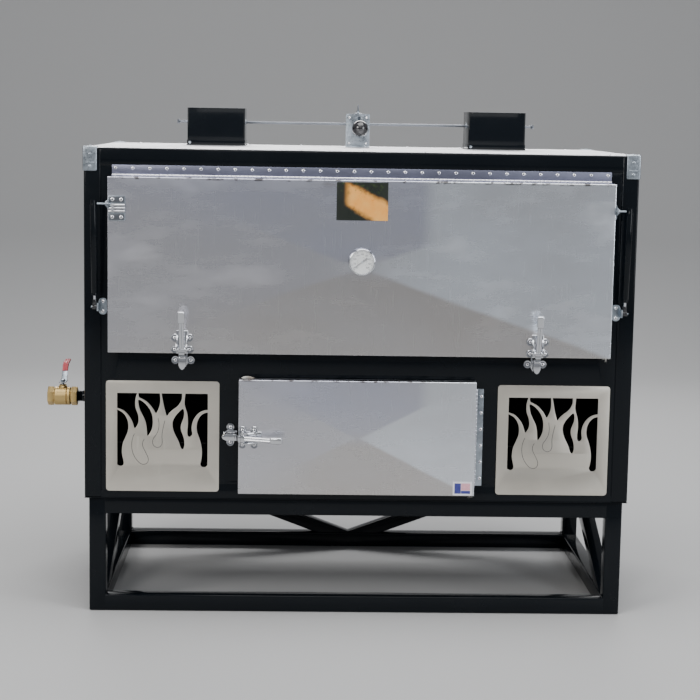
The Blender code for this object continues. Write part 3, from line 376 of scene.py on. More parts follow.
def hinge_steel(name):
    return plain_steel(name, tuple(settings("finish").leaf), 0.32)


# Bright plating of the screws, also used as the painted highlight along the hinge knuckles.
def screw_plating(name):
    return plain_steel(name, tuple(settings("finish").screw), 0.22)


def shaft_steel(name):
    return plain_steel(name, tuple(settings("finish").shaft), 0.34)


def chrome(name):
    base = tuple(settings("finish").chrome)
    made = Finish(name, base, 0.10, 1.0)
    haze = made.noise(60.0, 4.0, 0.6).smooth(0.40, 0.80)
    made.feed("Base Color", made.blend(haze * 0.6, base, dimmed(base, 0.62)))
    made.feed("Roughness", haze * 0.18 + 0.06)
    made.bump(made.noise(45.0, 2.0), 0.12, 0.0007)
    return made.material


def brass(name):
    base = tuple(settings("finish").brass)
    made = Finish(name, base, 0.30, 1.0)
    cast = made.noise(150.0, 3.0, 0.6)
    tarnish = made.noise(20.0, 5.0, 0.6).smooth(0.42, 0.72)
    made.feed("Base Color", made.blend(tarnish * 0.7, base, (0.42, 0.24, 0.09)))
    made.feed("Roughness", cast * 0.18 + tarnish * 0.16 + 0.18)
    made.bump(cast, 0.22, 0.0005)
    return made.material


def red_vinyl(name):
    base = tuple(settings("finish").vinyl)
    made = Finish(name, base, 0.40, Coat_Roughness=0.25, Subsurface_Weight=0.05)
    wear = made.noise(40.0, 5.0, 0.6).smooth(0.48, 0.74)
    made.feed("Base Color", made.blend(wear, base, (0.86, 0.42, 0.44)))
    made.feed("Roughness", wear * 0.25 + 0.32)
    made.feed("Coat Weight", 0.35 - wear * 0.3)
    made.bump(made.noise(260.0, 3.0), 0.25, 0.0004)
    return made.material


def black_resin(name):
    made = Finish(name, (0.012, 0.012, 0.014), 0.18, IOR=1.53, Coat_Roughness=0.08)
    rub = made.noise(38.0, 5.0, 0.6).smooth(0.5, 0.8)
    made.feed("Base Color", made.blend(rub, (0.010, 0.010, 0.012), (0.045, 0.045, 0.048)))
    made.feed("Roughness", rub * 0.30 + 0.12)
    made.feed("Coat Weight", 0.6 - rub * 0.5)
    made.bump(made.noise(90.0, 2.0), 0.06, 0.0004)
    return made.material


def rope(name):
    made = Finish(name, (0.68, 0.66, 0.60), 0.92, Sheen_Weight=0.25, Sheen_Roughness=0.6)
    fibre = made.noise(420.0, 4.0, 0.75)
    soil = made.noise(14.0, 5.0, 0.6).smooth(0.50, 0.74)
    made.feed("Base Color", made.blend(soil, (0.74, 0.72, 0.66), (0.30, 0.24, 0.17)))
    made.feed("Roughness", fibre * 0.2 + 0.78)
    made.bump(fibre, 0.6, 0.0007)
    return made.material


def mineral_wool(name):
    made = Finish(name, (0.52, 0.44, 0.26), 0.95)
    fibre = made.noise(200.0, 5.0, 0.8)
    made.feed("Base Color", made.blend(fibre, (0.62, 0.54, 0.34), (0.34, 0.27, 0.15)))
    made.feed("Roughness", fibre * 0.1 + 0.88)
    made.bump(fibre, 0.7, 0.003)
    return made.material


def fired_steel(name):
    made = Finish(name, (0.05, 0.035, 0.028), 0.72, 0.5)
    scale = made.noise(18.0, 6.0, 0.7)
    made.feed("Base Color", made.blend(scale.smooth(0.42, 0.66), (0.030, 0.026, 0.024),
                                       (0.17, 0.075, 0.035)))
    made.feed("Roughness", scale * 0.4 + 0.45)
    made.bump(scale + made.noise(120.0, 3.0) * 0.4, 0.5, 0.0012)
    return made.material


def dial_card(name):
    made = Finish(name, (0.86, 0.87, 0.86), 0.5)
    age = made.noise(70.0, 4.0).smooth(0.45, 0.75)
    made.feed("Base Color", made.blend(age, (0.88, 0.89, 0.88), (0.78, 0.79, 0.76)))
    made.feed("Roughness", age * 0.1 + 0.45)
    return made.material


# Black ink of the dial's print, also used as painted shade for screw recesses, the flame panel cuts and the
# valve bore.
def dial_ink(name):
    made = Finish(name, (0.015, 0.015, 0.018), 0.45)
    fade = made.noise(300.0, 3.0)
    made.feed("Base Color", made.blend(fade, (0.012, 0.012, 0.015), (0.04, 0.04, 0.045)))
    made.feed("Roughness", fade * 0.2 + 0.35)
    return made.material


def clear_glass(name):
    made = Finish(name, (1.0, 1.0, 1.0), 0.03, IOR=1.45)
    made.feed("Alpha", made.noise(30.0, 3.0) * 0.05 + 0.06)
    made.material.surface_render_method = "BLENDED"
    return made.material


def glow_label(name):
    """A dark label with a warm glow that spreads from its lower right, and nothing written on it."""
    low, high = label_corners()
    made = Finish(name, (0.05, 0.03, 0.02), 0.30, Coat_Roughness=0.1)
    x, _, z = made.axes()
    u, v = (x - low.x) / (high.x - low.x), (z - low.z) / (high.z - low.z)
    ripple = made.noise(30.0, 5.0, 0.65)
    reach = abs(v - 0.84 + u * 0.70)
    warm = (0.30 - reach + ripple * 0.22).smooth(0.0, 0.20) * u.smooth(0.12, 0.30)
    leaf = made.noise(95.0, 4.0, 0.7).smooth(0.50, 0.68) * v.smooth(0.55, 0.85)
    lit = made.blend(warm, (0.012, 0.016, 0.012), (0.86, 0.33, 0.05))
    sheen = made.blend((ripple - 0.25) * warm, lit, (0.92, 0.62, 0.20))
    made.feed("Base Color", made.blend(leaf * 0.7, sheen, (0.045, 0.075, 0.018)))
    made.feed("Roughness", ripple * 0.15 + 0.22)
    return made.material


def sticker_print(name, tones):
    made = Finish(name, tones[0], 0.35)
    fade = made.noise(120.0, 3.0).smooth(0.4, 0.75)
    made.feed("Base Color", made.blend(fade * 0.6, tones[0], tones[1]))
    made.feed("Roughness", fade * 0.15 + 0.3)
    return made.material


def sticker_white(name):
    return sticker_print(name, ((0.80, 0.80, 0.84), (0.68, 0.68, 0.72)))


def sticker_blue(name):
    return sticker_print(name, ((0.035, 0.040, 0.22), (0.07, 0.08, 0.32)))


def sticker_rose(name):
    return sticker_print(name, ((0.70, 0.36, 0.42), (0.80, 0.56, 0.60)))


def pale_floor(name):
    base = tuple(settings("stage").floor)
    made = Finish(name, base, 0.8)
    cloud = made.noise(0.6, 3.0)
    made.feed("Base Color", made.blend(cloud, dimmed(base, 0.99), dimmed(base, 1.01)))
    return made.material


FINISHES = {maker.__name__: maker for maker in (
    gloss_paint, stainless, door_sheet, hatch_sheet, panel_sheet, roof_steel, liner_sheet, zinc, hinge_steel,
    screw_plating, shaft_steel, chrome, brass, red_vinyl, black_resin, rope, mineral_wool, fired_steel,
                                                dial_card,
    dial_ink, clear_glass, glow_label, sticker_white, sticker_blue, sticker_rose, pale_floor)}


def finish(name):
    """The material of that name, made when it is first asked for."""
    return bpy.data.materials.get(name) or FINISHES[name](name)


def repaint(name, *nodes):
    """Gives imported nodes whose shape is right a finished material."""
    for node in nodes:
        shown = frame["nodes"][node]
        shown.data.materials.clear()
        shown.data.materials.append(finish(name))


# Shapes -----------------------------------------------------------------------------------

def in_mm(*pairs):
    """Points given in millimetres, as metres."""
    return [(first * MM, second * MM) for first, second in pairs]


def upright(y):
    """Places an outline drawn in X and Z at a depth."""
    return Matrix.Translation((0, y, 0)) @ UPRIGHT


def endwise(x):
    """Places an outline drawn in Y and Z at a distance to the side."""
    return Matrix.Translation((x, 0, 0)) @ ENDWISE


def level(z):
    """Places an outline drawn in X and Y at a height."""
    return Matrix.Translation((0, 0, z))


def along(start, end):
    """The matrix that lays +Z from one point to another from their middle, and the distance."""
    start, end = Vector(start), Vector(end)
    turn = (end - start).to_track_quat("Z", "Y").to_matrix().to_4x4()
    return Matrix.Translation((start + end) / 2) @ turn, (end - start).length


def mesh_from_curve(curve):
    holder = bpy.data.objects.new("outline", curve)
    mesh = bpy.data.meshes.new_from_object(holder)
    bpy.data.objects.remove(holder)
    bpy.data.curves.remove(curve)
    return mesh


def rounded(low, high, radius, steps=5):
    """A rectangle with round corners, as points that run anticlockwise."""
    points = []
    for quarter, (right, top) in enumerate(((1, 1), (0, 1), (0, 0), (1, 0))):
        centre = ((high[0] - radius) if right else (low[0] + radius),
                  (high[1] - radius) if top else (low[1] + radius))
        for step in range(steps + 1):
            angle = math.radians(90 * (quarter + step / steps))
            points.append((centre[0] + radius * math.cos(angle), centre[1] + radius * math.sin(angle)))
    return points


def circle(centre, radius, sides=24):
    return [(centre[0] + radius * math.cos(math.tau * step / sides),
             centre[1] + radius * math.sin(math.tau * step / sides)) for step in range(sides)]


class Piece:
    """Collects shapes into one mesh in the row's frame. Each takes the finish in use when it is added."""

    def __init__(self, name, finish_name, place=Matrix.Identity(4)):
        self.name = name
        self.place = place
        self.mesh = bmesh.new()
        self.finishes = []
        self.use(finish_name)

    def use(self, finish_name):
        if finish_name not in self.finishes:
            self.finishes.append(finish_name)
        self.slot = self.finishes.index(finish_name)
        return self

    def take(self, mesh, place=Matrix.Identity(4)):
        mesh.transform(place)
        for face in mesh.polygons:
            face.material_index = self.slot
        self.mesh.from_mesh(mesh)
        bpy.data.meshes.remove(mesh)
        return self

    def form(self, make, place=Matrix.Identity(4)):
        """Adds what a function makes in an empty bmesh."""
        shape = bmesh.new()
        make(shape)
        bmesh.ops.recalc_face_normals(shape, faces=shape.faces)
        mesh = bpy.data.meshes.new("form")
        shape.to_mesh(mesh)
        shape.free()
        return self.take(mesh, place)

    def box(self, low, high, round_by=0.0, place=Matrix.Identity(4), segments=3):
        size, middle = Vector(high) - Vector(low), (Vector(high) + Vector(low)) / 2
        grown = Matrix.Translation(middle) @ Matrix.Diagonal((*size, 1.0))

        def make(shape):
            bmesh.ops.create_cube(shape, size=1.0, matrix=grown)
            if round_by:
                bmesh.ops.bevel(shape, geom=shape.edges[:], offset=min(round_by, min(size) * 0.48),
                                segments=segments, profile=0.5, affect="EDGES")

        return self.form(make, place)

    def bar(self, start, end, width, depth=None, round_by=0.0):
        """A square or flat bar between two points."""
        place, reach = along(start, end)
        half = Vector((width / 2, (depth or width) / 2, reach / 2))
        return self.box(-half, half, round_by, place)

    def rod(self, start, end, radius, end_radius=None, sides=24, round_by=0.0):
        place, reach = along(start, end)
        last = radius if end_radius is None else end_radius

        def make(shape):
            bmesh.ops.create_cone(shape, cap_ends=True, segments=sides, radius1=radius, radius2=last,
                                  depth=reach)
            if round_by:
                rims = [edge for edge in shape.edges if any(len(face.verts) == sides
                                                            for face in edge.link_faces)]
                bmesh.ops.bevel(shape, geom=rims, offset=round_by, segments=2, profile=0.5, affect="EDGES")

        return self.form(make, place)

    def turned(self, profile, start, towards, sides=40):
        """A shape turned about the line from start towards a point. The profile is (radius, height) pairs."""
        turn = (Vector(towards) - Vector(start)).to_track_quat("Z", "Y").to_matrix().to_4x4()

        def make(shape):
            points = [shape.verts.new((radius, 0.0, height)) for radius, height in profile]
            edges = [shape.edges.new(pair) for pair in zip(points, points[1:])]
            bmesh.ops.spin(shape, geom=points + edges, axis=(0, 0, 1), cent=(0, 0, 0), angle=math.tau,
                           steps=sides, use_merge=True)
            bmesh.ops.remove_doubles(shape, verts=shape.verts, dist=1e-6)

        return self.form(make, Matrix.Translation(start) @ turn)

    def tube(self, points, radius, radii=None, closed=False, sides=3, kind="POLY"):
        curve = bpy.data.curves.new("tube", "CURVE")
        curve.dimensions = "3D"
        curve.bevel_depth = radius
        curve.bevel_resolution = sides
        curve.use_fill_caps = not closed
        curve.resolution_u = 6
        spline = curve.splines.new(kind)
        spline.points.add(len(points) - 1)
        for index, point in enumerate(points):
            spline.points[index].co = (*point, 1.0)
            spline.points[index].radius = radii[index] if radii else 1.0
        spline.use_cyclic_u = closed
        if kind == "NURBS":
            spline.order_u = 4
            spline.use_endpoint_u = not closed
        return self.take(mesh_from_curve(curve))

    def plate(self, outlines, thickness, place, round_by=0.0):
        """A flat plate with holes from closed outlines. Its middle plane is the place's XY plane."""
        curve = bpy.data.curves.new("plate", "CURVE")
        curve.dimensions = "2D"
        curve.fill_mode = "BOTH"
        curve.extrude = max(thickness / 2 - round_by, 1e-6)
        curve.bevel_depth = round_by
        curve.bevel_resolution = 1
        curve.offset = -round_by
        for outline in outlines:
            spline = curve.splines.new("POLY")
            spline.points.add(len(outline) - 1)
            spline.use_cyclic_u = True
            for point, (x, y) in zip(spline.points, outline):
                point.co = (x, y, 0.0, 1.0)
        return self.take(mesh_from_curve(curve), place)

    def screw(self, centre, out, radius=4.2 * MM, height=1.6 * MM):
        """An oval-head screw facing the way that out points, its cross recess a dark cross of painted shade.
        """
        out = Vector(out).normalized()
        centre = Vector(centre)
        kept = self.slot
        self.use("screw_plating")
        dome = [(radius, 0.0), (radius * 0.96, height * 0.35), (radius * 0.7, height * 0.8),
                (radius * 0.35, height), (0.0, height * 1.02)]
        self.turned(dome, centre, centre + out, sides=18)
        # The cross recess is painted shade: a dark cross set on the dome.
        self.use("dial_ink")
        turn = out.to_track_quat("Z", "Y").to_matrix().to_4x4() @ Matrix.Rotation(centre.x * 90.0, 4, "Z")
        place = Matrix.Translation(centre + out * height * 0.86) @ turn
        for long, short in ((0.55, 0.12), (0.12, 0.55)):
            half = Vector((radius * long, radius * short, height * 0.2))
            self.box(-half, half, 0.0, place)
        self.slot = kept
        return self

    def done(self, body, *nodes, sharp=35.0, slot=None):
        """Makes the object, which rides on its body and stands for the nodes."""
        mesh = bpy.data.meshes.new(self.name)
        bmesh.ops.remove_doubles(self.mesh, verts=self.mesh.verts, dist=1e-7)
        self.mesh.transform(self.place)
        self.mesh.to_mesh(mesh)
        self.mesh.free()
        for name in self.finishes:
            mesh.materials.append(finish(name))
        mesh.shade_smooth()
        mesh.set_sharp_from_angle(angle=math.radians(sharp))
        made = bpy.data.objects.new(self.name, mesh)
        bpy.context.scene.collection.objects.link(made)
        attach(made, body)
        if nodes:
            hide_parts(*nodes)
        return made


# Stand and cabinet ------------------------------------------------------------------------

def frame_ring(piece, low, high, tube, corner):
    """Legs and rails of one end of the stand, with a weld bead in each inner corner."""
    for x in (low.x, high.x - tube):
        piece.box((x, low.y, low.z), (x + tube, high.y, high.z), corner)
    for z in (low.z, high.z - tube):
        piece.box((low.x + tube - corner, low.y + TOUCH, z),
                  (high.x - tube + corner, high.y - TOUCH, z + tube), corner)
    for x in (low.x + tube, high.x - tube):
        for z in (low.z + tube, high.z - tube):
            weld(piece, (x, low.y + corner, z), (x, high.y - corner, z))


def weld(piece, start, end, radius=2.6 * MM, pitch=3.0 * MM):
    """A rippled bead."""
    start, end = Vector(start), Vector(end)
    count = max(4, int((end - start).length / pitch) * 2)
    points = [start.lerp(end, step / count) for step in range(count + 1)]
    piece.tube(points, radius, [1.0 if step % 2 else 0.82 for step in range(count + 1)], sides=1)


class SMOKER_OT_stand(bpy.types.Operator):
    """Square-tube stand with its rear V brace and side braces"""
    bl_idname = "smoker.stand"
    bl_label = "Stand"
    bl_options = {"REGISTER", "UNDO"}

    def execute(self, context):
        corner = settings("sheet").tube_round
        tube, brace = 2 * INCH, 1.75 * INCH
        for node in ("stand_front_frame", "stand_rear_frame"):
            low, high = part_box(node)
            piece = Piece(f"{node}_tubes", "gloss_paint")
            frame_ring(piece, low, high, tube, corner)
            if node == "stand_rear_frame":
                y = (low.y + high.y) / 2
                for side in (-1, 1):
                    start = Vector((0.0, y, low.z + tube * 0.6))
                    end = Vector((side * (high.x - tube / 2), y, high.z - tube * 0.6))
                    piece.bar(start, end, brace, round_by=corner)
                    weld(piece, (0.03 * side, low.y + 6 * MM, low.z + tube),
                         (0.09 * side, low.y + 6 * MM, low.z + tube))
            piece.done("cabinet", node, slot="gloss_black")
        for side, word in SIDES:
            node = f"stand_{word}_side_frame"
            low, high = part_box(node)
            x = (low.x + high.x) / 2
            piece = Piece(f"{node}_tubes", "gloss_paint")
            for z in (low.z, high.z - tube):
                piece.box((low.x, low.y, z), (high.x, high.y, z + tube), corner)
                for y in (low.y, high.y):
                    weld(piece, (low.x + corner, y, z + tube), (high.x - corner, y, z + tube))
            piece.bar((x, low.y + tube * 0.6, low.z + tube / 2), (x, high.y - tube * 0.6, high.z - tube / 2),
                      brace, round_by=corner)
            piece.done("cabinet", node, slot="gloss_black")
        return {"FINISHED"}


class SMOKER_OT_cabinet(bpy.types.Operator):
    """Front frame, casing, roof and floor of the cabinet"""
    bl_idname = "smoker.cabinet"
    bl_label = "Cabinet"
    bl_options = {"REGISTER", "UNDO"}

    def execute(self, context):
        self.front_frame()
        self.casing()
        self.roof()
        repaint("gloss_paint", "floor_panel")
        return {"FINISHED"}

    def front_frame(self):
        low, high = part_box("front_frame")
        tube, corner = 2 * INCH, settings("sheet").tube_round
        piece = Piece("front_frame_tubes", "gloss_paint")
        for x in (low.x, high.x - tube):
            piece.box((x, low.y, low.z), (x + tube, high.y, high.z), corner)
        piece.box((low.x + tube - corner, low.y, high.z - tube), (high.x - tube + corner, high.y, high.z),
                  corner)
        recess, thick = 2 * MM, 3 * MM
        outlines = [rounded((low.x + tube - MM, low.z), (high.x - tube + MM, high.z - tube + MM), MM, 2)]
        for node, margin in (("main_door_skin", 36), ("firebox_door_skin", 36), ("flame_panel_left", 22),
                             ("flame_panel_right", 22)):
            a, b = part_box(node)
            edge = margin * MM
            outlines.append(rounded((a.x + edge, a.z + edge), (b.x - edge, b.z - edge), 3 * MM, 3))
        middle = low.y + recess + thick / 2
        piece.plate(outlines, thick, upright(middle), 0.4 * MM)
        for x in (low.x + tube, high.x - tube):
            weld(piece, (x, low.y + recess, low.z + 20 * MM), (x, low.y + recess, high.z - tube), 1.6 * MM,
                 4 * MM)
        piece.done("cabinet", "front_frame", slot="gloss_black")

    def casing(self):
        low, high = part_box("outer_casing")
        sheet, bend = 2 * MM, 6 * MM
        outer = rounded((low.x, low.y - 0.05), (high.x, high.y), bend)
        inner = rounded((low.x + sheet, low.y - 0.05), (high.x - sheet, high.y - sheet), bend - sheet)
        half = len(outer) // 2
        outline = [(high.x, low.y), *outer[:half], (low.x, low.y), (low.x + sheet, low.y),
                   *reversed(inner[:half]), (high.x - sheet, low.y)]
        piece = Piece("outer_casing_sheet", "gloss_paint")
        place = level((low.z + high.z) / 2)
        piece.plate([outline], high.z - low.z, place, 0.3 * MM)
        for x in (-0.28, 0.28):
            piece.box((x - 18 * MM, high.y - TOUCH, low.z + 10 * MM),
                      (x + 18 * MM, high.y + 1.2 * MM, high.z - 10 * MM), 0.5 * MM)
        count = 9
        for x in (-0.81, -0.29, -0.27, 0.27, 0.29, 0.81):
            for step in range(count):
                z = low.z + 0.04 + (high.z - low.z - 0.08) * step / (count - 1)
                back = high.y + (1.2 * MM if abs(x) < 0.5 else 0.0)
                piece.screw((x, back, z), (0, 1, 0), 4.6 * MM, 1.8 * MM)
        for side in (-1, 1):
            for step in range(count):
                z = low.z + 0.04 + (high.z - low.z - 0.16) * step / (count - 1)
                edge = high.x if side > 0 else low.x
                piece.screw((edge, low.y + 14 * MM, z), (side, 0, 0), 4.6 * MM, 1.8 * MM)
        piece.done("cabinet", "outer_casing", slot="gloss_black")

    def roof(self):
        low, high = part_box("roof_panel")
        outlines = [rounded((low.x, low.y), (high.x, high.y), 3 * MM, 3)]
        for _, word in SIDES:
            a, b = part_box(f"flue_{word}")
            outlines.append(rounded((a.x + MM, a.y + MM), (b.x - MM, b.y - MM), 2 * MM, 2))
        piece = Piece("roof_sheet", "roof_steel")
        piece.plate(outlines, high.z - low.z, level((low.z + high.z) / 2), 0.6 * MM)
        for x in [low.x + 0.09 + step * 0.1855 for step in range(9)]:
            for y in (low.y + 12 * MM, high.y - 12 * MM):
                piece.screw((x, y, high.z), (0, 0, 1), 4.6 * MM, 1.6 * MM)
        piece.done("cabinet", "roof_panel", slot="stainless")


class SMOKER_OT_corner_caps(bpy.types.Operator):
    """Dimpled guards over the cabinet's four top corners"""
    bl_idname = "smoker.corner_caps"
    bl_label = "Corner caps"
    bl_options = {"REGISTER", "UNDO"}

    def execute(self, context):
        for side, word in SIDES:
            for face, place in ((-1, "front"), (1, "rear")):
                node = f"corner_cap_{word}_{place}"
                low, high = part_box(node)
                piece = Piece(f"{node}_guard", "zinc")
                piece.box(low, high, 4 * MM, segments=4)
                x_face = high.x if side > 0 else low.x
                y_face = high.y if face > 0 else low.y
                across, deep = (low.x + high.x) / 2, (low.y + high.y) / 2
                for z in (low.z + 14 * MM, high.z - 24 * MM):
                    piece.turned(self.rivet(), (across, y_face, z), (across, y_face + face, z), 20)
                    piece.turned(self.rivet(), (x_face, deep, z), (x_face + side, deep, z), 20)
                piece.turned(self.rivet(), (across, deep, high.z), (across, deep, high.z + 1), 20)
                rib = 3 * MM
                piece.box((low.x + 8 * MM, y_face - 1.2 * MM, low.z + 24 * MM),
                          (high.x - 8 * MM, y_face + 1.2 * MM,
                          low.z + 24 * MM + rib), MM)
                piece.done("cabinet", node, slot="galvanised")
        return {"FINISHED"}

    def rivet(self):
        return in_mm((5.2, 0), (5.0, 0.9), (3.4, 1.9), (1.5, 2.3), (0, 2.4))


class SMOKER_OT_interior(bpy.types.Operator):
    """Liners, insulation, grates and water pan"""
    bl_idname = "smoker.interior"
    bl_label = "Interior"
    bl_options = {"REGISTER", "UNDO"}

    def execute(self, context):
        repaint("liner_sheet", "oven_liner")
        repaint("fired_steel", "firebox_liner")
        repaint("mineral_wool", "insulation_blanket", "main_door_insulation")
        self.wire_grate()
        self.bar_grate()
        self.pan()
        return {"FINISHED"}

    def wire_grate(self):
        low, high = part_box("cooking_grate")
        piece = Piece("cooking_grate_wires", "chrome")
        rim, wire = 4 * MM, 2.4 * MM
        z = low.z + rim
        a, b = low + Vector((rim, rim, 0)), high - Vector((rim, rim, 0))
        ring = [(x, y, z) for x, y in rounded((a.x, a.y), (b.x, b.y), 12 * MM)]
        piece.tube(ring, rim, closed=True, sides=2)
        count = 72
        for step in range(1, count):
            x = a.x + (b.x - a.x) * step / count
            piece.rod((x, a.y, z + rim - wire), (x, b.y, z + rim - wire), wire, sides=8)
        for step in range(1, 5):
            y = a.y + (b.y - a.y) * step / 5
            piece.rod((a.x, y, z - rim + wire), (b.x, y, z - rim + wire), wire, sides=8)
        piece.done("cabinet", "cooking_grate", slot="chrome")

    def bar_grate(self):
        low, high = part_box("fire_grate")
        piece = Piece("fire_grate_bars", "fired_steel")
        count = 22
        for y in (low.y + 8 * MM, high.y - 8 * MM):
            piece.box((low.x, y - 8 * MM, low.z), (high.x, y + 8 * MM, high.z), MM)
        for step in range(count):
            x = low.x + 8 * MM + (high.x - low.x - 16 * MM) * step / (count - 1)
            piece.bar((x, low.y + 4 * MM, (low.z + high.z) / 2), (x, high.y - 4 * MM, (low.z + high.z) / 2),
                      9 * MM, 7 * MM, MM)
        piece.done("cabinet", "fire_grate", slot="fire_brown")

    def pan(self):
        repaint("zinc", "water_pan")
        low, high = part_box("water_pan")
        piece = Piece("water_pan_rim", "zinc")
        edge = 1.8 * MM
        ring = [(x, y, high.z) for x, y in rounded((low.x + edge, low.y + edge),
                                                   (high.x - edge, high.y - edge), 5 * MM)]
        piece.tube(ring, edge, closed=True, sides=2)
        piece.done("cabinet", slot="galvanised")


# Flame panels -----------------------------------------------------------------------------

FLAME_WINDOWS = (
    ((34, 251), (52, 242), (64, 224), (68, 207), (67, 186), (59, 166), (51, 149), (48, 130), (48, 114),
     (54, 90), (53, 80), (44, 76), (34, 81)),
    ((34, 302), (94, 302), (90, 290), (88, 276), (89, 256), (96, 241), (99, 225), (98, 210), (92, 199),
     (86, 192), (83, 205), (77, 221), (67, 236), (55, 248), (44, 253), (34, 256)),
    ((97, 284), (98, 270), (102, 252), (111, 234), (119, 218), (123, 199), (124, 182), (125, 168),
     (134, 181), (140, 195), (142, 213), (141, 231), (136, 246), (128, 260), (114, 275)),
    ((98, 302), (163, 302), (164, 288), (164, 273), (161, 259), (156, 248), (151, 239), (145, 251),
     (135, 265), (122, 278), (107, 286), (99, 289)),
    ((168, 302), (230, 302), (230, 286), (225, 274), (216, 262), (202, 252), (191, 242), (184, 230),
     (180, 245), (176, 259), (173, 274)),
    ((234, 258), (237, 243), (235, 227), (230, 215), (226, 203), (227, 189), (233, 174), (237, 160),
     (238, 143),
     (235, 132), (230, 130), (225, 139), (220, 156), (211, 172), (204, 188), (201, 204), (202, 218),
     (210, 233), (221, 246)),
    ((240, 302), (308, 302), (308, 253), (296, 251), (283, 245), (271, 233), (263, 218), (259, 201),
     (260, 187),
     (262, 176), (254, 168), (247, 172), (246, 187), (248, 204), (248, 224), (246, 242), (240, 259),
     (237, 272)),
    ((308, 245), (295, 242), (283, 231), (276, 215), (274, 198), (276, 183), (282, 168), (287, 151),
     (291, 131), (291, 112), (289, 96), (285, 84), (292, 75), (303, 76), (308, 83)),
)
# Paths of the thin looping cuts, drawn as dark lines of painted shade rather than cut.
FLAME_CUT_SHADE_LINES = (
    ((86, 177), (79, 160), (77, 136), (82, 114), (93, 95), (108, 82), (124, 84), (130, 99), (120, 121),
     (111, 137), (110, 151), (116, 161)),
    ((158, 226), (161, 207), (159, 189), (152, 174), (143, 163), (140, 151), (145, 139), (158, 134),
     (168, 141), (171, 153), (169, 168), (171, 187), (178, 218)),
)


def softened(points, straight, closed=True):
    """Rounds an outline by cutting its corners once, but not on the straight edges of the window."""
    result = []
    count = len(points)
    for index, point in enumerate(points):
        near_edge = any(abs(point[0] - x) < 0.6 for x in straight[0]) or any(abs(point[1] - y) < 0.6
                                                                             for y in straight[1])
        if near_edge or (not closed and index in (0, count - 1)):
            result.append(point)
            continue
        for other, share in ((points[index - 1], 0.25), (points[(index + 1) % count], 0.25)):
            result.append((point[0] + (other[0] - point[0]) * share,
                           point[1] + (other[1] - point[1]) * share))
    return result


class SMOKER_OT_flame_panels(bpy.types.Operator):
    """Two plates with flame-shaped windows, and dark lines of painted shade for thin looping cuts"""
    bl_idname = "smoker.flame_panels"
    bl_label = "Flame panels"
    bl_options = {"REGISTER", "UNDO"}

    def execute(self, context):
        straight = ((34, 308), (302,))
        for _, word in SIDES:
            node = f"flame_panel_{word}"
            low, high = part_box(node)
            size = high - low
            outlines = [rounded((0, 0), (size.x, size.z), 10 * MM, 8)]
            for window in FLAME_WINDOWS:
                eased = softened(softened(window, straight), straight)
                outlines.append([(x * MM, z * MM) for x, z in eased])
            piece = Piece(f"{node}_plate", "panel_sheet")
            place = Matrix.Translation((low.x, (low.y + high.y) / 2, low.z)) @ UPRIGHT
            piece.plate(outlines, size.y, place, 0.35 * MM)
            # The looping cuts are painted shade: dark tubes on the front stand for the shade inside their
            # slots.
            piece.use("dial_ink")
            for cut in FLAME_CUT_SHADE_LINES:
                eased = softened(softened(cut, ((), ()), False), ((), ()), False)
                piece.tube([(low.x + x * MM, low.y, low.z + z * MM) for x, z in eased], 0.75 * MM, sides=1)
            piece.use("panel_sheet")
            piece.done("cabinet", node, slot="stainless")
        return {"FINISHED"}


# Doors ------------------------------------------------------------------------------------

def door_skin(prefix, finish_name, body):
    """A folded pan, creased from corner to corner, with a hemmed edge behind."""
    low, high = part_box(f"{prefix}_skin")
    look = settings("sheet")
    rise, fold = look.cross_break, look.edge_round

    def make(shape):
        middle, size = (low + high) / 2, high - low
        front = low.y + rise
        size.y = high.y - front
        middle.y = (high.y + front) / 2
        bmesh.ops.create_cube(shape, size=1.0, matrix=Matrix.Translation(middle) @ Matrix.Diagonal((*size,
                                                                                                    1.0)))
        bmesh.ops.bevel(shape, geom=shape.edges[:], offset=fold, segments=3, profile=0.5, affect="EDGES")
        face = max((f for f in shape.faces if f.normal.y < -0.9), key=lambda f: f.calc_area())
        bmesh.ops.inset_region(shape, faces=[face], thickness=3 * MM, depth=0.0)
        poked = bmesh.ops.poke(shape, faces=[face])
        poked["verts"][0].co.y -= rise

    piece = Piece(f"{prefix}_pan", finish_name)
    piece.form(make)
    made = piece.done(body, f"{prefix}_skin", sharp=0.15, slot="stainless")
    for face in made.data.polygons:
        if face.normal.y > -0.99:
            continue
        face.use_smooth = False
    return made


def rope_gasket(prefix, body):
    """Two twisted strands round the back of a door."""
    low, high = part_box(f"{prefix}_gasket")
    inset, strand = 7 * MM, 1.75 * MM
    middle_y = (low.y + high.y) / 2
    ring = rounded((low.x + inset, low.z + inset), (high.x - inset, high.z - inset), 12 * MM, 8)
    route = []
    for (x0, z0), (x1, z1) in zip(ring, ring[1:] + ring[:1]):
        steps = max(1, int(math.hypot(x1 - x0, z1 - z0) / (5 * MM)))
        route += [(x0 + (x1 - x0) * k / steps, z0 + (z1 - z0) * k / steps) for k in range(steps)]
    count = len(route)
    turns = round(count * 5 * MM / (26 * MM))
    piece = Piece(f"{prefix}_rope", "rope")
    for strand_index in range(3):
        points = []
        for index, (x, z) in enumerate(route):
            ahead, behind = route[(index + 1) % count], route[index - 1]
            run = Vector((ahead[0] - behind[0], ahead[1] - behind[1])).normalized()
            angle = math.tau * (turns * index / count + strand_index / 3)
            out, deep = math.cos(angle) * 4.2 * MM, math.sin(angle) * 1.5 * MM
            points.append((x - run.y * out, middle_y + deep, z + run.x * out))
        piece.tube(points, strand, closed=True, sides=1)
    piece.done(body, f"{prefix}_gasket", slot="rope_white")
    return low, high


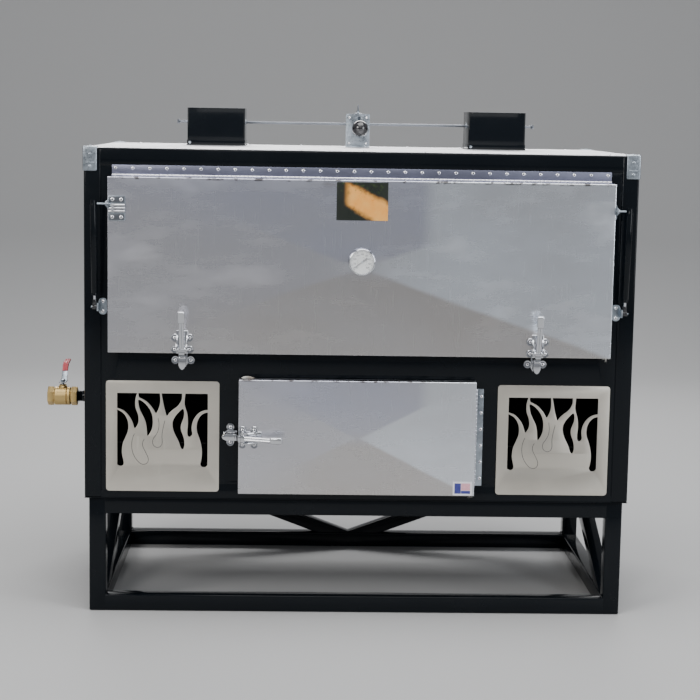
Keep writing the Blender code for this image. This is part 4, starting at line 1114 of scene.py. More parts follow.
def frayed_end(name, body, corner, seed):
    """Loose threads where a rope gasket's ends meet."""
    draw = random.Random(seed)
    piece = Piece(name, "rope")
    for _ in range(11):
        reach = draw.uniform(9, 20) * MM
        lean = draw.uniform(-1.2, 0.9)
        points = [Vector(corner)]
        for _ in range(5):
            turn = lean + draw.uniform(-0.5, 0.5)
            points.append(points[-1] + Vector((math.sin(turn), draw.uniform(-0.35, 0.1),
                                               -math.cos(turn))) * reach / 5)
        piece.tube(points, 0.55 * MM, [1.0, 1.0, 0.9, 0.8, 0.6, 0.3], sides=1)
    piece.done(body, slot="rope_white")


def label_corners():
    low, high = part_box("main_door_skin")
    return Vector((-78 * MM, low.y - 1.0 * MM, high.z - 119 * MM)), Vector((75 * MM, low.y + 0.2 * MM,
                                                                            high.z - 6 * MM))


class SMOKER_OT_main_door(bpy.types.Operator):
    """Lift-up door with its gasket and blank label"""
    bl_idname = "smoker.main_door"
    bl_label = "Main door"
    bl_options = {"REGISTER", "UNDO"}

    def execute(self, context):
        door_skin("main_door", "door_sheet", "main_door")
        repaint("stainless", "main_door_inner_panel")
        low, high = rope_gasket("main_door", "main_door")
        skin_low, skin_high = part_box("main_door_skin")
        frayed_end("main_door_frayed_rope", "main_door", (skin_high.x - 6 * MM, low.y, skin_low.z + 2 * MM),
                   3)
        a, b = label_corners()
        piece = Piece("blank_label", "glow_label")
        piece.plate([rounded((a.x, a.z), (b.x, b.z), 2 * MM, 4)], b.y - a.y,
                    upright((a.y + b.y) / 2), 0.2 * MM)
        piece.done("main_door")
        return {"FINISHED"}


class SMOKER_OT_firebox_door(bpy.types.Operator):
    """Firebox door with its gasket and plain two-tone sticker"""
    bl_idname = "smoker.firebox_door"
    bl_label = "Firebox door"
    bl_options = {"REGISTER", "UNDO"}

    def execute(self, context):
        door_skin("firebox_door", "hatch_sheet", "firebox_door")
        repaint("stainless", "firebox_door_inner_panel")
        low, high = rope_gasket("firebox_door", "firebox_door")
        skin_low, skin_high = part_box("firebox_door_skin")
        frayed_end("firebox_door_frayed_rope", "firebox_door",
                   (skin_high.x - 8 * MM, low.y, skin_low.z + 2 * MM), 8)
        self.bulge(skin_low, skin_high, (low.y + high.y) / 2)
        self.sticker(skin_low, skin_high)
        return {"FINISHED"}

    def bulge(self, low, high, y):
        """The gasket's lap, which stands out above the door's upper left corner."""
        piece = Piece("firebox_door_rope_lap", "rope")
        points = [(low.x + x * MM, y, high.z + z * MM) for x,
                  z in ((2, -14), (6, -1), (18, 4), (36, 3), (52, -6))]
        piece.tube(points, 3.2 * MM, kind="NURBS")
        piece.done("firebox_door", slot="rope_white")

    def sticker(self, low, high):
        right, bottom, front = high.x - 7 * MM, low.z + 3 * MM, low.y + 0.9 * MM
        size = (58 * MM, 42 * MM)
        left = right - size[0]
        piece = Piece("two_tone_sticker", "sticker_white")
        place = upright(front)
        piece.plate([rounded((left, bottom), (right, bottom + size[1]), 2 * MM, 4)], 0.5 * MM, place)
        edge, printed = 5 * MM, upright(front - 0.35 * MM)
        split = left + size[0] * 0.42
        piece.use("sticker_blue")
        piece.plate([rounded((left + edge, bottom + edge), (split, bottom + size[1] - edge), MM, 3)],
                    0.2 * MM, printed)
        piece.plate([rounded((split + MM, bottom + edge), (right - edge, bottom + edge + 9 * MM), MM, 3)],
                    0.2 * MM, printed)
        piece.use("sticker_rose")
        piece.plate([rounded((split + MM, bottom + edge + 10 * MM), (right - edge, bottom + size[1] - edge),
                             MM, 3)],
                    0.2 * MM, printed)
        piece.done("firebox_door")


class SMOKER_OT_hinges(bpy.types.Operator):
    """Piano hinges of both doors, with every knuckle and screw"""
    bl_idname = "smoker.hinges"
    bl_label = "Piano hinges"
    bl_options = {"REGISTER", "UNDO"}

    def execute(self, context):
        for prefix, joint, body, upright in (("main", "main_door_hinge", "main_door", False),
                                             ("firebox", "firebox_door_hinge", "firebox_door", True)):
            low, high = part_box(f"{prefix}_hinge_leaf_fixed")
            reach = (high.z - low.z) if upright else (high.x - low.x)
            axis = Matrix.Translation(JOINTS[joint]["pos_m"])
            place = axis @ Matrix.Rotation(math.pi / 2, 4, "Y") if upright else axis
            wide = settings("hinge").firebox_leaf if upright else settings("hinge").main_leaf
            self.leaves(prefix, place, reach, wide, body)
        return {"FINISHED"}

    def leaves(self, prefix, place, reach, wide, body):
        look = settings("hinge")
        half, sheet, radius, deep = reach / 2, 1.6 * MM, 3 * MM, 30 * MM
        behind, under = 3.7 * MM, 3.7 * MM
        steel = "zinc" if prefix == "firebox" else "hinge_steel"
        fixed = Piece(f"{prefix}_hinge_fixed_leaf", steel, place)
        moving = Piece(f"{prefix}_hinge_door_leaf", "hinge_steel", place)
        fixed.box((-half, behind - sheet, 1.2 * MM), (half, behind, wide), 0.5 * MM)
        moving.box((-half, -deep, -under), (half, -1.2 * MM, -under + sheet), 0.5 * MM)
        count = round(reach / look.knuckle)
        pitch = reach / count
        for index in range(count):
            start = -half + index * pitch
            leaf = moving if index % 2 else fixed
            # Knuckles take the bright plating: a painted highlight along the hinge, whose knuckles are the
            # leaves' own steel.
            leaf.use("screw_plating")
            leaf.rod((start + TOUCH, 0, 0), (start + pitch - TOUCH, 0, 0), radius, sides=14, round_by=TOUCH)
            leaf.use(steel)
            web = start + 0.6 * MM, start + pitch - 0.6 * MM
            if leaf is fixed:
                leaf.box((web[0], behind - sheet, -radius * 0.5), (web[1], behind - 0.2 * MM, 2.5 * MM))
            else:
                leaf.box((web[0], -2.5 * MM, -under + 0.2 * MM), (web[1], radius * 0.5, -under + sheet))
        fixed.rod((-half - MM, 0, 0), (half + MM, 0, 0), 1.2 * MM, sides=12)
        screws = int((reach - 10 * MM) / look.screw_pitch) + 1
        first = -(screws - 1) * look.screw_pitch / 2
        for index in range(screws):
            x = first + index * look.screw_pitch
            fixed.screw((x, behind - sheet, wide * 0.68), (0, -1, 0), look.screw_radius)
            moving.screw((x, -deep * 0.62, -under + sheet), (0, 0, 1), look.screw_radius, 1.0 * MM)
        fixed.done("cabinet", f"{prefix}_hinge_leaf_fixed", slot="galvanised")
        moving.done(body, f"{prefix}_hinge_leaf_door", slot="galvanised")


# Latches, struts, thermometer -------------------------------------------------------------

LATCHES = (
    ("latch_left", "latch_left_lift", "main_door", False),
    ("latch_right", "latch_right_lift", "main_door", False),
    ("firebox_latch", "firebox_latch_lift", "firebox_door", True),
)


class SMOKER_OT_latches(bpy.types.Operator):
    """Lift latches: eared base, spoon handle and eared keeper"""
    bl_idname = "smoker.latches"
    bl_label = "Latches"
    bl_options = {"REGISTER", "UNDO"}

    def execute(self, context):
        for word, joint, body, sideways in LATCHES:
            place = Matrix.Translation(JOINTS[joint]["pos_m"])
            if sideways:
                place = place @ Matrix.Rotation(math.pi / 2, 4, "Y")
            self.base(word, body, place)
            self.lever(word, joint, place)
            self.keeper(word, place)
        return {"FINISHED"}

    def ears(self, piece, spots, face, radius, thick):
        for x, z in spots:
            pad = [(radius, 0.0), (radius, thick * 0.7), (radius * 0.9, thick),
                   (radius * 0.62, thick * 0.86), (radius * 0.5, thick * 0.8), (0.0, thick * 0.8)]
            piece.turned(pad, (x, face, z), (x, face - 1, z), 28)
            well = [(radius * 0.68, 0.0), (radius * 0.68, 0.5 * MM), (radius * 0.45, 0.5 * MM)]
            piece.use("shaft_steel")
            piece.turned(well, (x, face - thick * 0.82, z), (x, face - 1, z), 24)
            piece.use("chrome")
            piece.screw((x, face - thick * 0.8, z), (0, -1, 0), radius * 0.42)

    def base(self, word, body, place):
        back, low, high = 21.7 * MM, -14 * MM, 56 * MM
        piece = Piece(f"{word}_housing", "chrome", place)
        piece.box((-18 * MM, back - 4 * MM, low), (18 * MM, back, high), 1.8 * MM)
        self.ears(piece, [(x * MM, z * MM) for x in (-22.5, 22.5) for z in (-1.5, 34)], back, 11.8 * MM,
                  4.5 * MM)
        for side in (-1, 1):
            outline = [(-8, -6), (8, -8), (20, -8), (20, 40), (12, 44), (2, 30), (-8, 10)]
            points = [(y * MM, z * MM) for y, z in softened(softened(outline, ((20,), ())), ((20,), ()))]
            turn = Matrix(((0, 0, 1, side * 15 * MM), (1, 0, 0, 0), (0, 1, 0, 0), (0, 0, 0, 1)))
            piece.plate([points], 5 * MM, turn, 0.9 * MM)
            piece.turned(in_mm((5, 0), (5, 1.4), (3.6, 2.4), (0, 2.6)),
                         (side * 17.4 * MM, 0, 0), (side, 0, 0), 20)
        piece.rod((-13 * MM, 0, 0), (13 * MM, 0, 0), 3.8 * MM, sides=20)
        piece.done(body, f"{word}_base", slot="galvanised")

    def lever(self, word, joint, place):
        piece = Piece(f"{word}_handle", "chrome", place)
        width = 10.5 * MM
        hub = [(4.4 * MM, 0), (7.6 * MM, 0), (7.8 * MM, 0.6 * MM), (7.8 * MM, 2 * width - 0.6 * MM),
               (7.6 * MM, 2 * width), (4.4 * MM, 2 * width), (4.4 * MM, 0)]
        piece.turned(hub, (-width, 0, 0), (1, 0, 0), 28)
        spine = [(-4, 6), (-9, 24), (-16, 46), (-24, 70), (-31, 92)]
        points = [(0, y * MM, z * MM) for y, z in spine]
        for side in (-1, 1):
            piece.tube([(side * 3.6 * MM, y, z) for _, y, z in points], 4.6 * MM, [1.1, 1.0, 0.9, 0.9, 1.05],
                       sides=4, kind="NURBS")
        tilt = Matrix.Translation((0, -33 * MM, 101 * MM)) @ Matrix.Rotation(math.radians(15), 4, "X")
        piece.box((-10.5 * MM, -8 * MM, -19 * MM), (10.5 * MM, 7 * MM, 19 * MM), 5.0 * MM, tilt, 5)
        piece.box((-8.5 * MM, -2.8 * MM, -15.2 * MM), (8.5 * MM, 2.8 * MM, -3 * MM), 1.2 * MM)
        piece.done(JOINTS[joint]["child"], f"{word}_lever", slot="chrome")

    def keeper(self, word, place):
        low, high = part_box(f"{word}_keeper")
        inverse = place.inverted()
        corners = [inverse @ low, inverse @ high]
        face = max(corner.y for corner in corners)
        front = min(corner.y for corner in corners)
        bottom, top = (fit(corner.z for corner in corners) for fit in (min, max))
        piece = Piece(f"{word}_strike", "chrome", place)
        self.ears(piece, [(side * 23 * MM, (bottom + top) / 2 + 2 * MM) for side in (-1, 1)], face,
                  12.6 * MM, 5 * MM)
        outline = [(-14, 45), (14, 45), (14, 14), (8, 4), (0, 0), (-8, 4), (-14, 14)]
        points = [(x * MM, bottom + z * MM * (top - bottom) / (45 * MM)) for x, z in outline]
        shaped = softened(points, ((), (top,)))
        piece.plate([shaped], 8 * MM, upright(face - 4 * MM), 1.2 * MM)
        narrow = [(x * 0.8, z) for x, z in shaped]
        piece.plate([narrow], face - front - 6 * MM, upright((face + front - 2 * MM) / 2), 1.6 * MM)
        piece.rod((-9 * MM, front + 6 * MM, top - 8 * MM), (9 * MM, front + 6 * MM, top - 8 * MM), 5 * MM,
                  sides=24, round_by=0.8 * MM)
        piece.done("cabinet", f"{word}_keeper", slot="galvanised")


class SMOKER_OT_struts(bpy.types.Operator):
    """Gas struts with their brackets, studs and end fittings"""
    bl_idname = "smoker.struts"
    bl_label = "Gas struts"
    bl_options = {"REGISTER", "UNDO"}

    def execute(self, context):
        for side, word in SIDES:
            foot = Vector(JOINTS[f"strut_swing_{word}"]["pos_m"])
            run = Vector(JOINTS[f"strut_slide_{word}"]["axis"]).normalized()
            self.tube(word, foot, run)
            self.rod(word, foot, run)
            self.brackets(side, word, foot)
        return {"FINISHED"}

    def tube(self, word, foot, run):
        low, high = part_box(f"strut_tube_{word}")
        top = foot + run * ((high.z - foot.z) / run.z)
        start = foot + run * ((low.z - foot.z) / run.z)
        reach = (top - start).length
        piece = Piece(f"strut_cylinder_{word}", "gloss_paint")
        r = 9.6 * MM
        piece.turned([(5.2 * MM, 0), (8 * MM, 0), (r, 2 * MM), (r, 6 * MM), (9.0 * MM, 7 * MM),
                      (9.0 * MM, 8 * MM),
                      (r, 9 * MM), (r, reach - 16 * MM), (8 * MM, reach - 12 * MM), (7 * MM, reach - MM),
                      (0, reach)],
                     start, top, 32)
        piece.use("zinc")
        piece.turned(in_mm((5.2, 0), (5.2, 30), (0, 30)), start + run * MM, top, 20)
        piece.done(f"strut_tube_{word}", f"strut_tube_{word}", slot="gloss_black")

    def rod(self, word, foot, run):
        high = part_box(f"strut_rod_{word}")[1]
        top = foot + run * ((high.z - foot.z) / run.z)
        across = Vector((7.6 * MM, 0, 0))
        piece = Piece(f"strut_piston_rod_{word}", "chrome")
        piece.rod(foot + run * 8 * MM, top, 4.2 * MM, sides=20)
        piece.use("black_resin")
        piece.rod(foot + run * 7 * MM, foot + run * 24 * MM, 6.6 * MM, 5.6 * MM, 20, 0.6 * MM)
        socket = in_mm((3.8, 0), (7.6, 0), (8.0, 1), (8.0, 14.2), (7.6, 15.2), (3.8, 15.2), (3.8, 0))
        piece.turned(socket, foot - across, foot, 28)
        piece.done(f"strut_rod_{word}", f"strut_rod_{word}", slot="galvanised")

    def brackets(self, side, word, foot):
        self.door_bracket(side, word)
        self.post_bracket(side, word, foot)

    def door_bracket(self, side, word):
        """A plate on the door's face on the left, on its side on the right, each with a lug and a stud."""
        low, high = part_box(f"strut_upper_bracket_{word}")
        piece = Piece(f"strut_door_bracket_{word}", "zinc")
        stud_y, thick = low.y + 6 * MM, 3 * MM
        if side < 0:
            edge = high.x - 50 * MM
            stud_z = low.z + 50 * MM
            self.face_plate(piece, edge, high.x, low.z, high.z, high.y)
            lug = [(edge + 2 * MM, -15), (edge + 2 * MM, 15), (edge - 8 * MM, 5), (edge - 8 * MM, -5)]
        else:
            edge, stud_z = low.x, low.z + 25 * MM
            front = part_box("main_door_skin")[0].y + 2 * MM
            plate = rounded((front, low.z), (high.y, high.z), 3 * MM, 4)
            piece.plate([plate], thick, endwise(edge + thick / 2), 0.5 * MM)
            for y in (front + 8 * MM, high.y - 8 * MM):
                piece.screw((edge + thick, y, low.z + 10 * MM), (1, 0, 0), 3.6 * MM, 1.6 * MM)
            lug = [(edge, -14), (edge, 14), (edge + 9 * MM, 4), (edge + 9 * MM, -4)]
            arm = [(stud_y - 6 * MM, -6), (stud_y - 6 * MM, 6), (front + 3 * MM, 12), (front + 3 * MM, -12)]
            points = [(y, stud_z + z * MM) for y, z in arm]
            piece.plate([points], thick, endwise(edge + thick / 2), 0.4 * MM)
        shape = [(x, stud_z + z * MM) for x, z in lug]
        piece.plate([shape], 5 * MM, upright(stud_y + 2 * MM), 0.8 * MM)
        tip = low.x if side < 0 else high.x
        start = edge - side * 2 * MM
        piece.rod((start, stud_y, stud_z), (tip - side * TOUCH, stud_y, stud_z), 3 * MM, sides=16)
        piece.done("main_door", f"strut_upper_bracket_{word}", slot="galvanised")

    def face_plate(self, piece, left, right, bottom, top, back):
        """Screws sit in two dark rows, with a ridged band between them."""
        thick, row = 3 * MM, 18 * MM
        piece.plate([rounded((left, bottom), (right, top), 4 * MM, 5)], thick,
                    upright(back - thick / 2), 0.6 * MM)
        for z in (bottom + row / 2 + 2 * MM, top - row / 2 - 2 * MM):
            piece.use("shaft_steel")
            piece.box((left + 3 * MM, back - thick - 0.8 * MM, z - row / 2),
                      (right - 3 * MM, back - thick, z + row / 2), 0.5 * MM)
            piece.use("screw_plating")
            for x in (left + 12 * MM, right - 12 * MM):
                piece.screw((x, back - thick - 0.7 * MM, z), (0, -1, 0), 5.6 * MM, 2 * MM)
        piece.use("chrome")
        middle = (bottom + top) / 2
        for z in (middle - 9 * MM, middle, middle + 9 * MM):
            piece.rod((left + MM, back - thick - MM, z), (right - MM, back - thick - MM, z), 4.2 * MM,
                      sides=20, round_by=MM)
        piece.use("zinc")
        piece.bar((left + 4 * MM, back - 4 * MM, top - 24 * MM),
                  (left - 8 * MM, back - 8 * MM, top - 24 * MM), 22 * MM, 4 * MM, 1.2 * MM)

    def post_bracket(self, side, word, foot):
        thick = 3 * MM
        low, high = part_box(f"strut_lower_bracket_{word}")
        piece = Piece(f"strut_post_bracket_{word}", "zinc")
        inner = high.x if side < 0 else low.x
        outer = inner - side * -26 * MM
        left, right = sorted((inner, outer))
        back = high.y
        piece.plate([rounded((left, low.z), (right, high.z), 12 * MM, 8)], thick,
                    upright(back - thick / 2), 0.6 * MM)
        for z in (low.z + 10 * MM, high.z - 10 * MM):
            piece.screw(((left + right) / 2, back - thick, z), (0, -1, 0), 5 * MM, 2 * MM)
        piece.box((outer - 2.5 * MM if side < 0 else outer - 2.5 * MM, foot.y - 8 * MM, foot.z - 12 * MM),
                  (outer + 2.5 * MM, back - MM, foot.z + 12 * MM), 1.4 * MM)
        tip = low.x if side < 0 else high.x
        piece.rod((outer, foot.y, foot.z), (tip, foot.y, foot.z), 2.9 * MM, sides=16)
        piece.done("cabinet", f"strut_lower_bracket_{word}", slot="galvanised")


class SMOKER_OT_thermometer(bpy.types.Operator):
    """Dial thermometer: bezel, card with its scale, needle and glass"""
    bl_idname = "smoker.thermometer"
    bl_label = "Thermometer"
    bl_options = {"REGISTER", "UNDO"}

    def execute(self, context):
        low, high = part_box("thermometer_case")
        lens_low, lens_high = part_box("thermometer_lens")
        radius = (high.x - low.x) / 2
        centre = Vector(((low.x + high.x) / 2, low.y, (low.z + high.z) / 2))
        skin_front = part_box("main_door_skin")[0].y
        depth = skin_front - low.y - TOUCH
        piece = Piece("thermometer_bezel", "chrome")
        inner = (lens_high.x - lens_low.x) / 2
        profile = [(0, depth), (radius * 0.72, depth), (radius * 0.78, depth - 4 * MM),
                   (radius * 0.93, depth - 6 * MM),
                   (radius, depth - 9 * MM), (radius, 5 * MM), (radius * 0.985, 2 * MM),
                   (radius * 0.95, 0.4 * MM),
                   (radius * 0.915, 0), (inner, 1.6 * MM), (inner, 6 * MM), (0, 6 * MM)]
        piece.turned(profile, centre, centre + Vector((0, 1, 0)), 72)
        piece.rod(centre + Vector((0, depth - MM, 0)), (centre.x, high.y, centre.z), 3.8 * MM, sides=20,
                  round_by=MM)
        self.card(piece, centre, inner)
        piece.done("main_door", "thermometer_case", slot="chrome")

        glass = Piece("thermometer_glass", "clear_glass")
        glass.turned([(0, 0), (inner * 0.7, 0.1 * MM), (inner - TOUCH, 0.5 * MM), (inner - TOUCH, 2 * MM),
                      (0, 1.9 * MM)],
                     (centre.x, lens_low.y, centre.z), (centre.x, lens_high.y, centre.z), 56)
        glass.done("main_door", "thermometer_lens", slot="clear_glass")
        self.needle()
        return {"FINISHED"}

    def card(self, piece, centre, inner):
        look = settings("dial")
        face = centre.y + 5.8 * MM
        piece.use("dial_card")
        piece.turned([(0, 0), (inner - TOUCH, 0), (inner - TOUCH, 0.3 * MM)], (centre.x, face, centre.z),
                     (centre.x, face + 1, centre.z), 64)
        piece.use("dial_ink")
        first = -look.sweep / 2
        for index in range(look.marks + 1):
            angle = first + look.sweep * index / look.marks
            big = index % 5 == 0
            self.mark(piece, centre, face, angle, inner * 0.94, (5.2 if big else 3.0) * MM,
                      (1.5 if big else 0.7) * MM)
            self.mark(piece, centre, face, angle, inner * 0.42, 1.6 * MM, 0.5 * MM)
        for index in range(look.figures):
            angle = first + look.sweep * index / (look.figures - 1)
            self.figure(piece, centre, face, angle, inner * 0.66, str(100 + 50 * index))

    def mark(self, piece, centre, face, angle, radius, reach, wide):
        place = Matrix.Translation((centre.x, face - 0.12 * MM, centre.z)) @ Matrix.Rotation(angle, 4, "Y")
        piece.box((-wide / 2, -0.06 * MM, radius - reach), (wide / 2, 0.06 * MM, radius), 0.0, place)

    def figure(self, piece, centre, face, angle, radius, text):
        curve = bpy.data.curves.new("figure", "FONT")
        curve.body = text
        curve.size = 7.0 * MM
        curve.align_x = "CENTER"
        curve.align_y = "CENTER"
        curve.extrude = 0.06 * MM
        curve.offset = 0.16 * MM
        spot = (centre.x + math.sin(angle) * radius, face - 0.12 * MM, centre.z + math.cos(angle) * radius)
        piece.take(mesh_from_curve(curve), Matrix.Translation(spot) @ UPRIGHT)

    def needle(self):
        joint = JOINTS["thermometer_needle_turn"]
        place = Matrix.Translation(joint["pos_m"]) @ Matrix.Rotation(math.radians(234), 4, "Y")
        piece = Piece("thermometer_pointer", "black_resin", place)
        outline = [(-0.9, 31), (0.9, 31), (1.6, 2), (2.8, -6), (3.2, -20), (-3.2, -20), (-2.8, -6),
                   (-1.6, 2)]
        piece.plate([[(x * MM, z * MM) for x, z in outline]], 0.7 * MM, UPRIGHT, 0.1 * MM)
        piece.use("zinc")
        piece.turned(in_mm((3.4, 0.6), (3.4, -0.5), (2.4, -1.0), (0, -1.1)), (0, 0, 0), (0, 1, 0), 24)
        piece.done("thermometer_needle", "thermometer_needle", slot="black_plastic")


# Roof -------------------------------------------------------------------------------------

class SMOKER_OT_flues(bpy.types.Operator):
    """Square flues with their collars, hemmed tops and damper seats"""
    bl_idname = "smoker.flues"
    bl_label = "Flues"
    bl_options = {"REGISTER", "UNDO"}

    def execute(self, context):
        roof_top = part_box("roof_panel")[1].z
        for side, word in SIDES:
            low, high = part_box(f"flue_{word}")
            lip, wall = 1.5 * MM, 3 * MM
            a, b = low + Vector((lip, lip, 0)), high - Vector((lip, lip, 0))
            piece = Piece(f"flue_{word}_duct", "gloss_paint")
            outer = rounded((a.x, a.y), (b.x, b.y), 4 * MM, 4)
            inner = rounded((a.x + wall, a.y + wall), (b.x - wall, b.y - wall), 1.5 * MM, 3)
            piece.plate([outer, inner], high.z - low.z, level((high.z + low.z) / 2), 0.6 * MM)
            collar = rounded((low.x, low.y), (high.x, high.y), 5 * MM, 4)
            rise = 17 * MM
            piece.plate([collar, rounded((a.x + MM, a.y + MM), (b.x - MM, b.y - MM), 3 * MM, 3)], rise,
                        level(roof_top + rise / 2 + TOUCH), 0.8 * MM)
            ring = [(x, y, roof_top + MM) for x, y in rounded((low.x, low.y), (high.x, high.y), 5 * MM, 4)]
            piece.tube(ring, 2 * MM, closed=True, sides=1)
            shaft = JOINTS["damper_turn"]["pos_m"]
            seat = 44 * MM
            for face, (y0, y1) in ((-1, (a.y + MM, shaft[1] - seat)), (1, (shaft[1] + seat, b.y - MM))):
                piece.box((a.x + MM, y0, shaft[2] - 1.5 * MM), (b.x - MM, y1, shaft[2] + 1.5 * MM), 0.4 * MM)
            piece.use("zinc")
            for x in (a.x, b.x):
                way = -1 if x == a.x else 1
                piece.turned(in_mm((5.6, 0), (10, 0), (10, 1.2), (5.6, 1.2), (5.6, 0)),
                             (x, shaft[1], shaft[2]), (x + way, shaft[1], shaft[2]), 24)
            bolt_x = low.x + 10 * MM
            piece.rod((bolt_x, low.y, roof_top + 9 * MM), (bolt_x, low.y - 4 * MM, roof_top + 9 * MM),
                      5 * MM, sides=6, round_by=0.6 * MM)
            piece.done("cabinet", f"flue_{word}", slot="gloss_black")
        return {"FINISHED"}


class SMOKER_OT_damper(bpy.types.Operator):
    """Damper shaft with its plates, lever and ball knob, the slotted bracket and the wing screw"""
    bl_idname = "smoker.damper"
    bl_label = "Damper"
    bl_options = {"REGISTER", "UNDO"}

    def execute(self, context):
        self.shaft()
        self.knob()
        self.bracket()
        self.wing_screw()
        return {"FINISHED"}

    def axis(self):
        return Vector(JOINTS["damper_turn"]["pos_m"])

    def out(self):
        droop = math.radians(7)
        return Vector((0, -math.cos(droop), -math.sin(droop)))

    def shaft(self):
        low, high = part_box("damper_shaft")
        centre, out = self.axis(), self.out()
        piece = Piece("damper_rod", "shaft_steel")
        piece.rod((low.x + 2 * MM, centre.y, centre.z), (high.x - 2 * MM, centre.y, centre.z), 4.4 * MM,
                  sides=20, round_by=0.6 * MM)
        for side, end in ((-1, low.x), (1, high.x)):
            piece.rod((end, centre.y, centre.z), (end - side * 6 * MM, centre.y, centre.z), 7 * MM, sides=6,
                      round_by=0.6 * MM)
            piece.rod((end - side * 6.4 * MM, centre.y, centre.z), (end - side * 8 * MM, centre.y, centre.z),
                      8.5 * MM, sides=24)
        root = centre + Vector((10 * MM, 0, 0))
        across = Vector((7 * MM, 0, 0))
        piece.rod(root - across, root + across, 9 * MM, sides=28, round_by=MM)
        piece.rod(root, root + out * 104 * MM, 3.9 * MM, sides=18)
        piece.rod(root + out * 80 * MM, root + out * 87 * MM, 7 * MM, sides=6, round_by=0.6 * MM)
        piece.use("fired_steel")
        tilt = Matrix.Rotation(math.radians(-15), 4, "X")
        for side, word in SIDES:
            a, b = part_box(f"flue_{word}")
            middle = (a.x + b.x) / 2
            half = (b.x - a.x) / 2 - 6.6 * MM
            place = Matrix.Translation((middle, centre.y, centre.z)) @ tilt
            piece.box((-half, -42 * MM, -1.2 * MM), (half, 42 * MM, 1.2 * MM), 0.5 * MM, place)
            for x in (-50 * MM, 50 * MM):
                piece.box((x - 8 * MM, -6 * MM, -6 * MM), (x + 8 * MM, 6 * MM, 6 * MM), 2 * MM, place)
        piece.done("damper_shaft", "damper_shaft", slot="galvanised")

    def knob(self):
        low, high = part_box("damper_knob")
        centre, radius = (low + high) / 2, (high.x - low.x) / 2
        out = self.out()
        piece = Piece("damper_ball", "black_resin")
        steps = 22
        profile = [(4.6 * MM, -radius * 0.985)]
        for step in range(2, steps + 1):
            angle = math.pi * step / steps
            profile.append((radius * math.sin(angle), -radius * math.cos(angle)))
        centre.y = self.axis().y + out.y * 115 * MM
        centre.z = self.axis().z + out.z * 115 * MM
        piece.turned(profile, centre, centre + out, 48)
        piece.use("zinc")
        start = centre - out * (radius + 3 * MM)
        piece.rod(start, centre - out * (radius - 2 * MM), 7 * MM, sides=24, round_by=0.6 * MM)
        piece.done("damper_shaft", "damper_knob", slot="black_plastic")

    def bracket(self):
        low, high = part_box("damper_bracket")
        centre = self.axis()
        thick, reach = 3 * MM, 22 * MM
        piece = Piece("damper_stirrup", "zinc")
        slot = rounded((4.5 * MM, centre.z - 16 * MM), (15.5 * MM, centre.z + 25.5 * MM), 5.4 * MM, 6)
        plate = rounded((low.x, low.z), (high.x, high.z), 3 * MM, 4)
        piece.plate([plate, slot], thick, upright(centre.y - reach - thick / 2), 0.5 * MM)
        piece.plate([plate], thick, upright(centre.y + reach + thick / 2), 0.5 * MM)
        lid = rounded((low.x, centre.y - reach - thick), (high.x, centre.y + reach + thick), 2 * MM, 3)
        hole = circle((JOINTS["wing_screw_turn"]["pos_m"][0], centre.y), 3.6 * MM)
        piece.plate([lid, hole], thick, level(high.z - thick / 2), 0.5 * MM)
        for face in (-1, 1):
            y0, y1 = sorted((centre.y + face * (reach + MM), centre.y + face * (reach + 28 * MM)))
            piece.box((low.x, y0, low.z), (high.x, y1, low.z + thick), 0.8 * MM)
            for x in (low.x + 14 * MM, high.x - 14 * MM):
                piece.screw((x, (y0 + y1) / 2 + face * 3 * MM, low.z + thick), (0, 0, 1), 5 * MM, 2 * MM)
        for x in (low.x + 11 * MM, high.x - 11 * MM):
            for z in (low.z + 12 * MM, high.z - 12 * MM):
                piece.screw((x, centre.y - reach - thick, z), (0, -1, 0), 3.6 * MM, 1.4 * MM)
        piece.done("cabinet", "damper_bracket", slot="galvanised")

    def wing_screw(self):
        low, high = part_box("wing_screw")
        pivot = Vector(JOINTS["wing_screw_turn"]["pos_m"])
        piece = Piece("wing_screw_body", "zinc")
        thread = [(2.0 * MM, 0)]
        pitch, reach = 1.0 * MM, pivot.z + 1.5 * MM - low.z
        for turn in range(int(reach / pitch)):
            thread += [(2.9 * MM, (turn + 0.5) * pitch), (2.3 * MM, (turn + 1) * pitch)]
        piece.turned(thread + [(4.8 * MM, reach), (4.8 * MM, reach + 9 * MM), (3.6 * MM, reach + 11 * MM),
                               (0, reach + 11 * MM)], (pivot.x, pivot.y, low.z), (pivot.x, pivot.y, high.z),
                     24)
        piece.turned(in_mm((4.5, 0.3), (13, 0.3), (13, 2.2), (9, 3.4), (4.5, 3.4)), pivot,
                     pivot + Vector((0, 0, 1)), 6)
        piece.use("shaft_steel")
        outline = [(3, 5), (9, 9), (17, 22), (19, 29), (15, 31), (9, 26), (4, 14), (3, 11)]
        for side in (-1, 1):
            eased = softened(softened(outline, ((), ())), ((), ()))
            wing = [(pivot.y + side * y * MM, pivot.z + z * MM) for y, z in eased]
            piece.plate([wing], 3.4 * MM, endwise(pivot.x), 1.0 * MM)
        piece.done("wing_screw", "wing_screw", slot="galvanised")


# Drain ------------------------------------------------------------------------------------

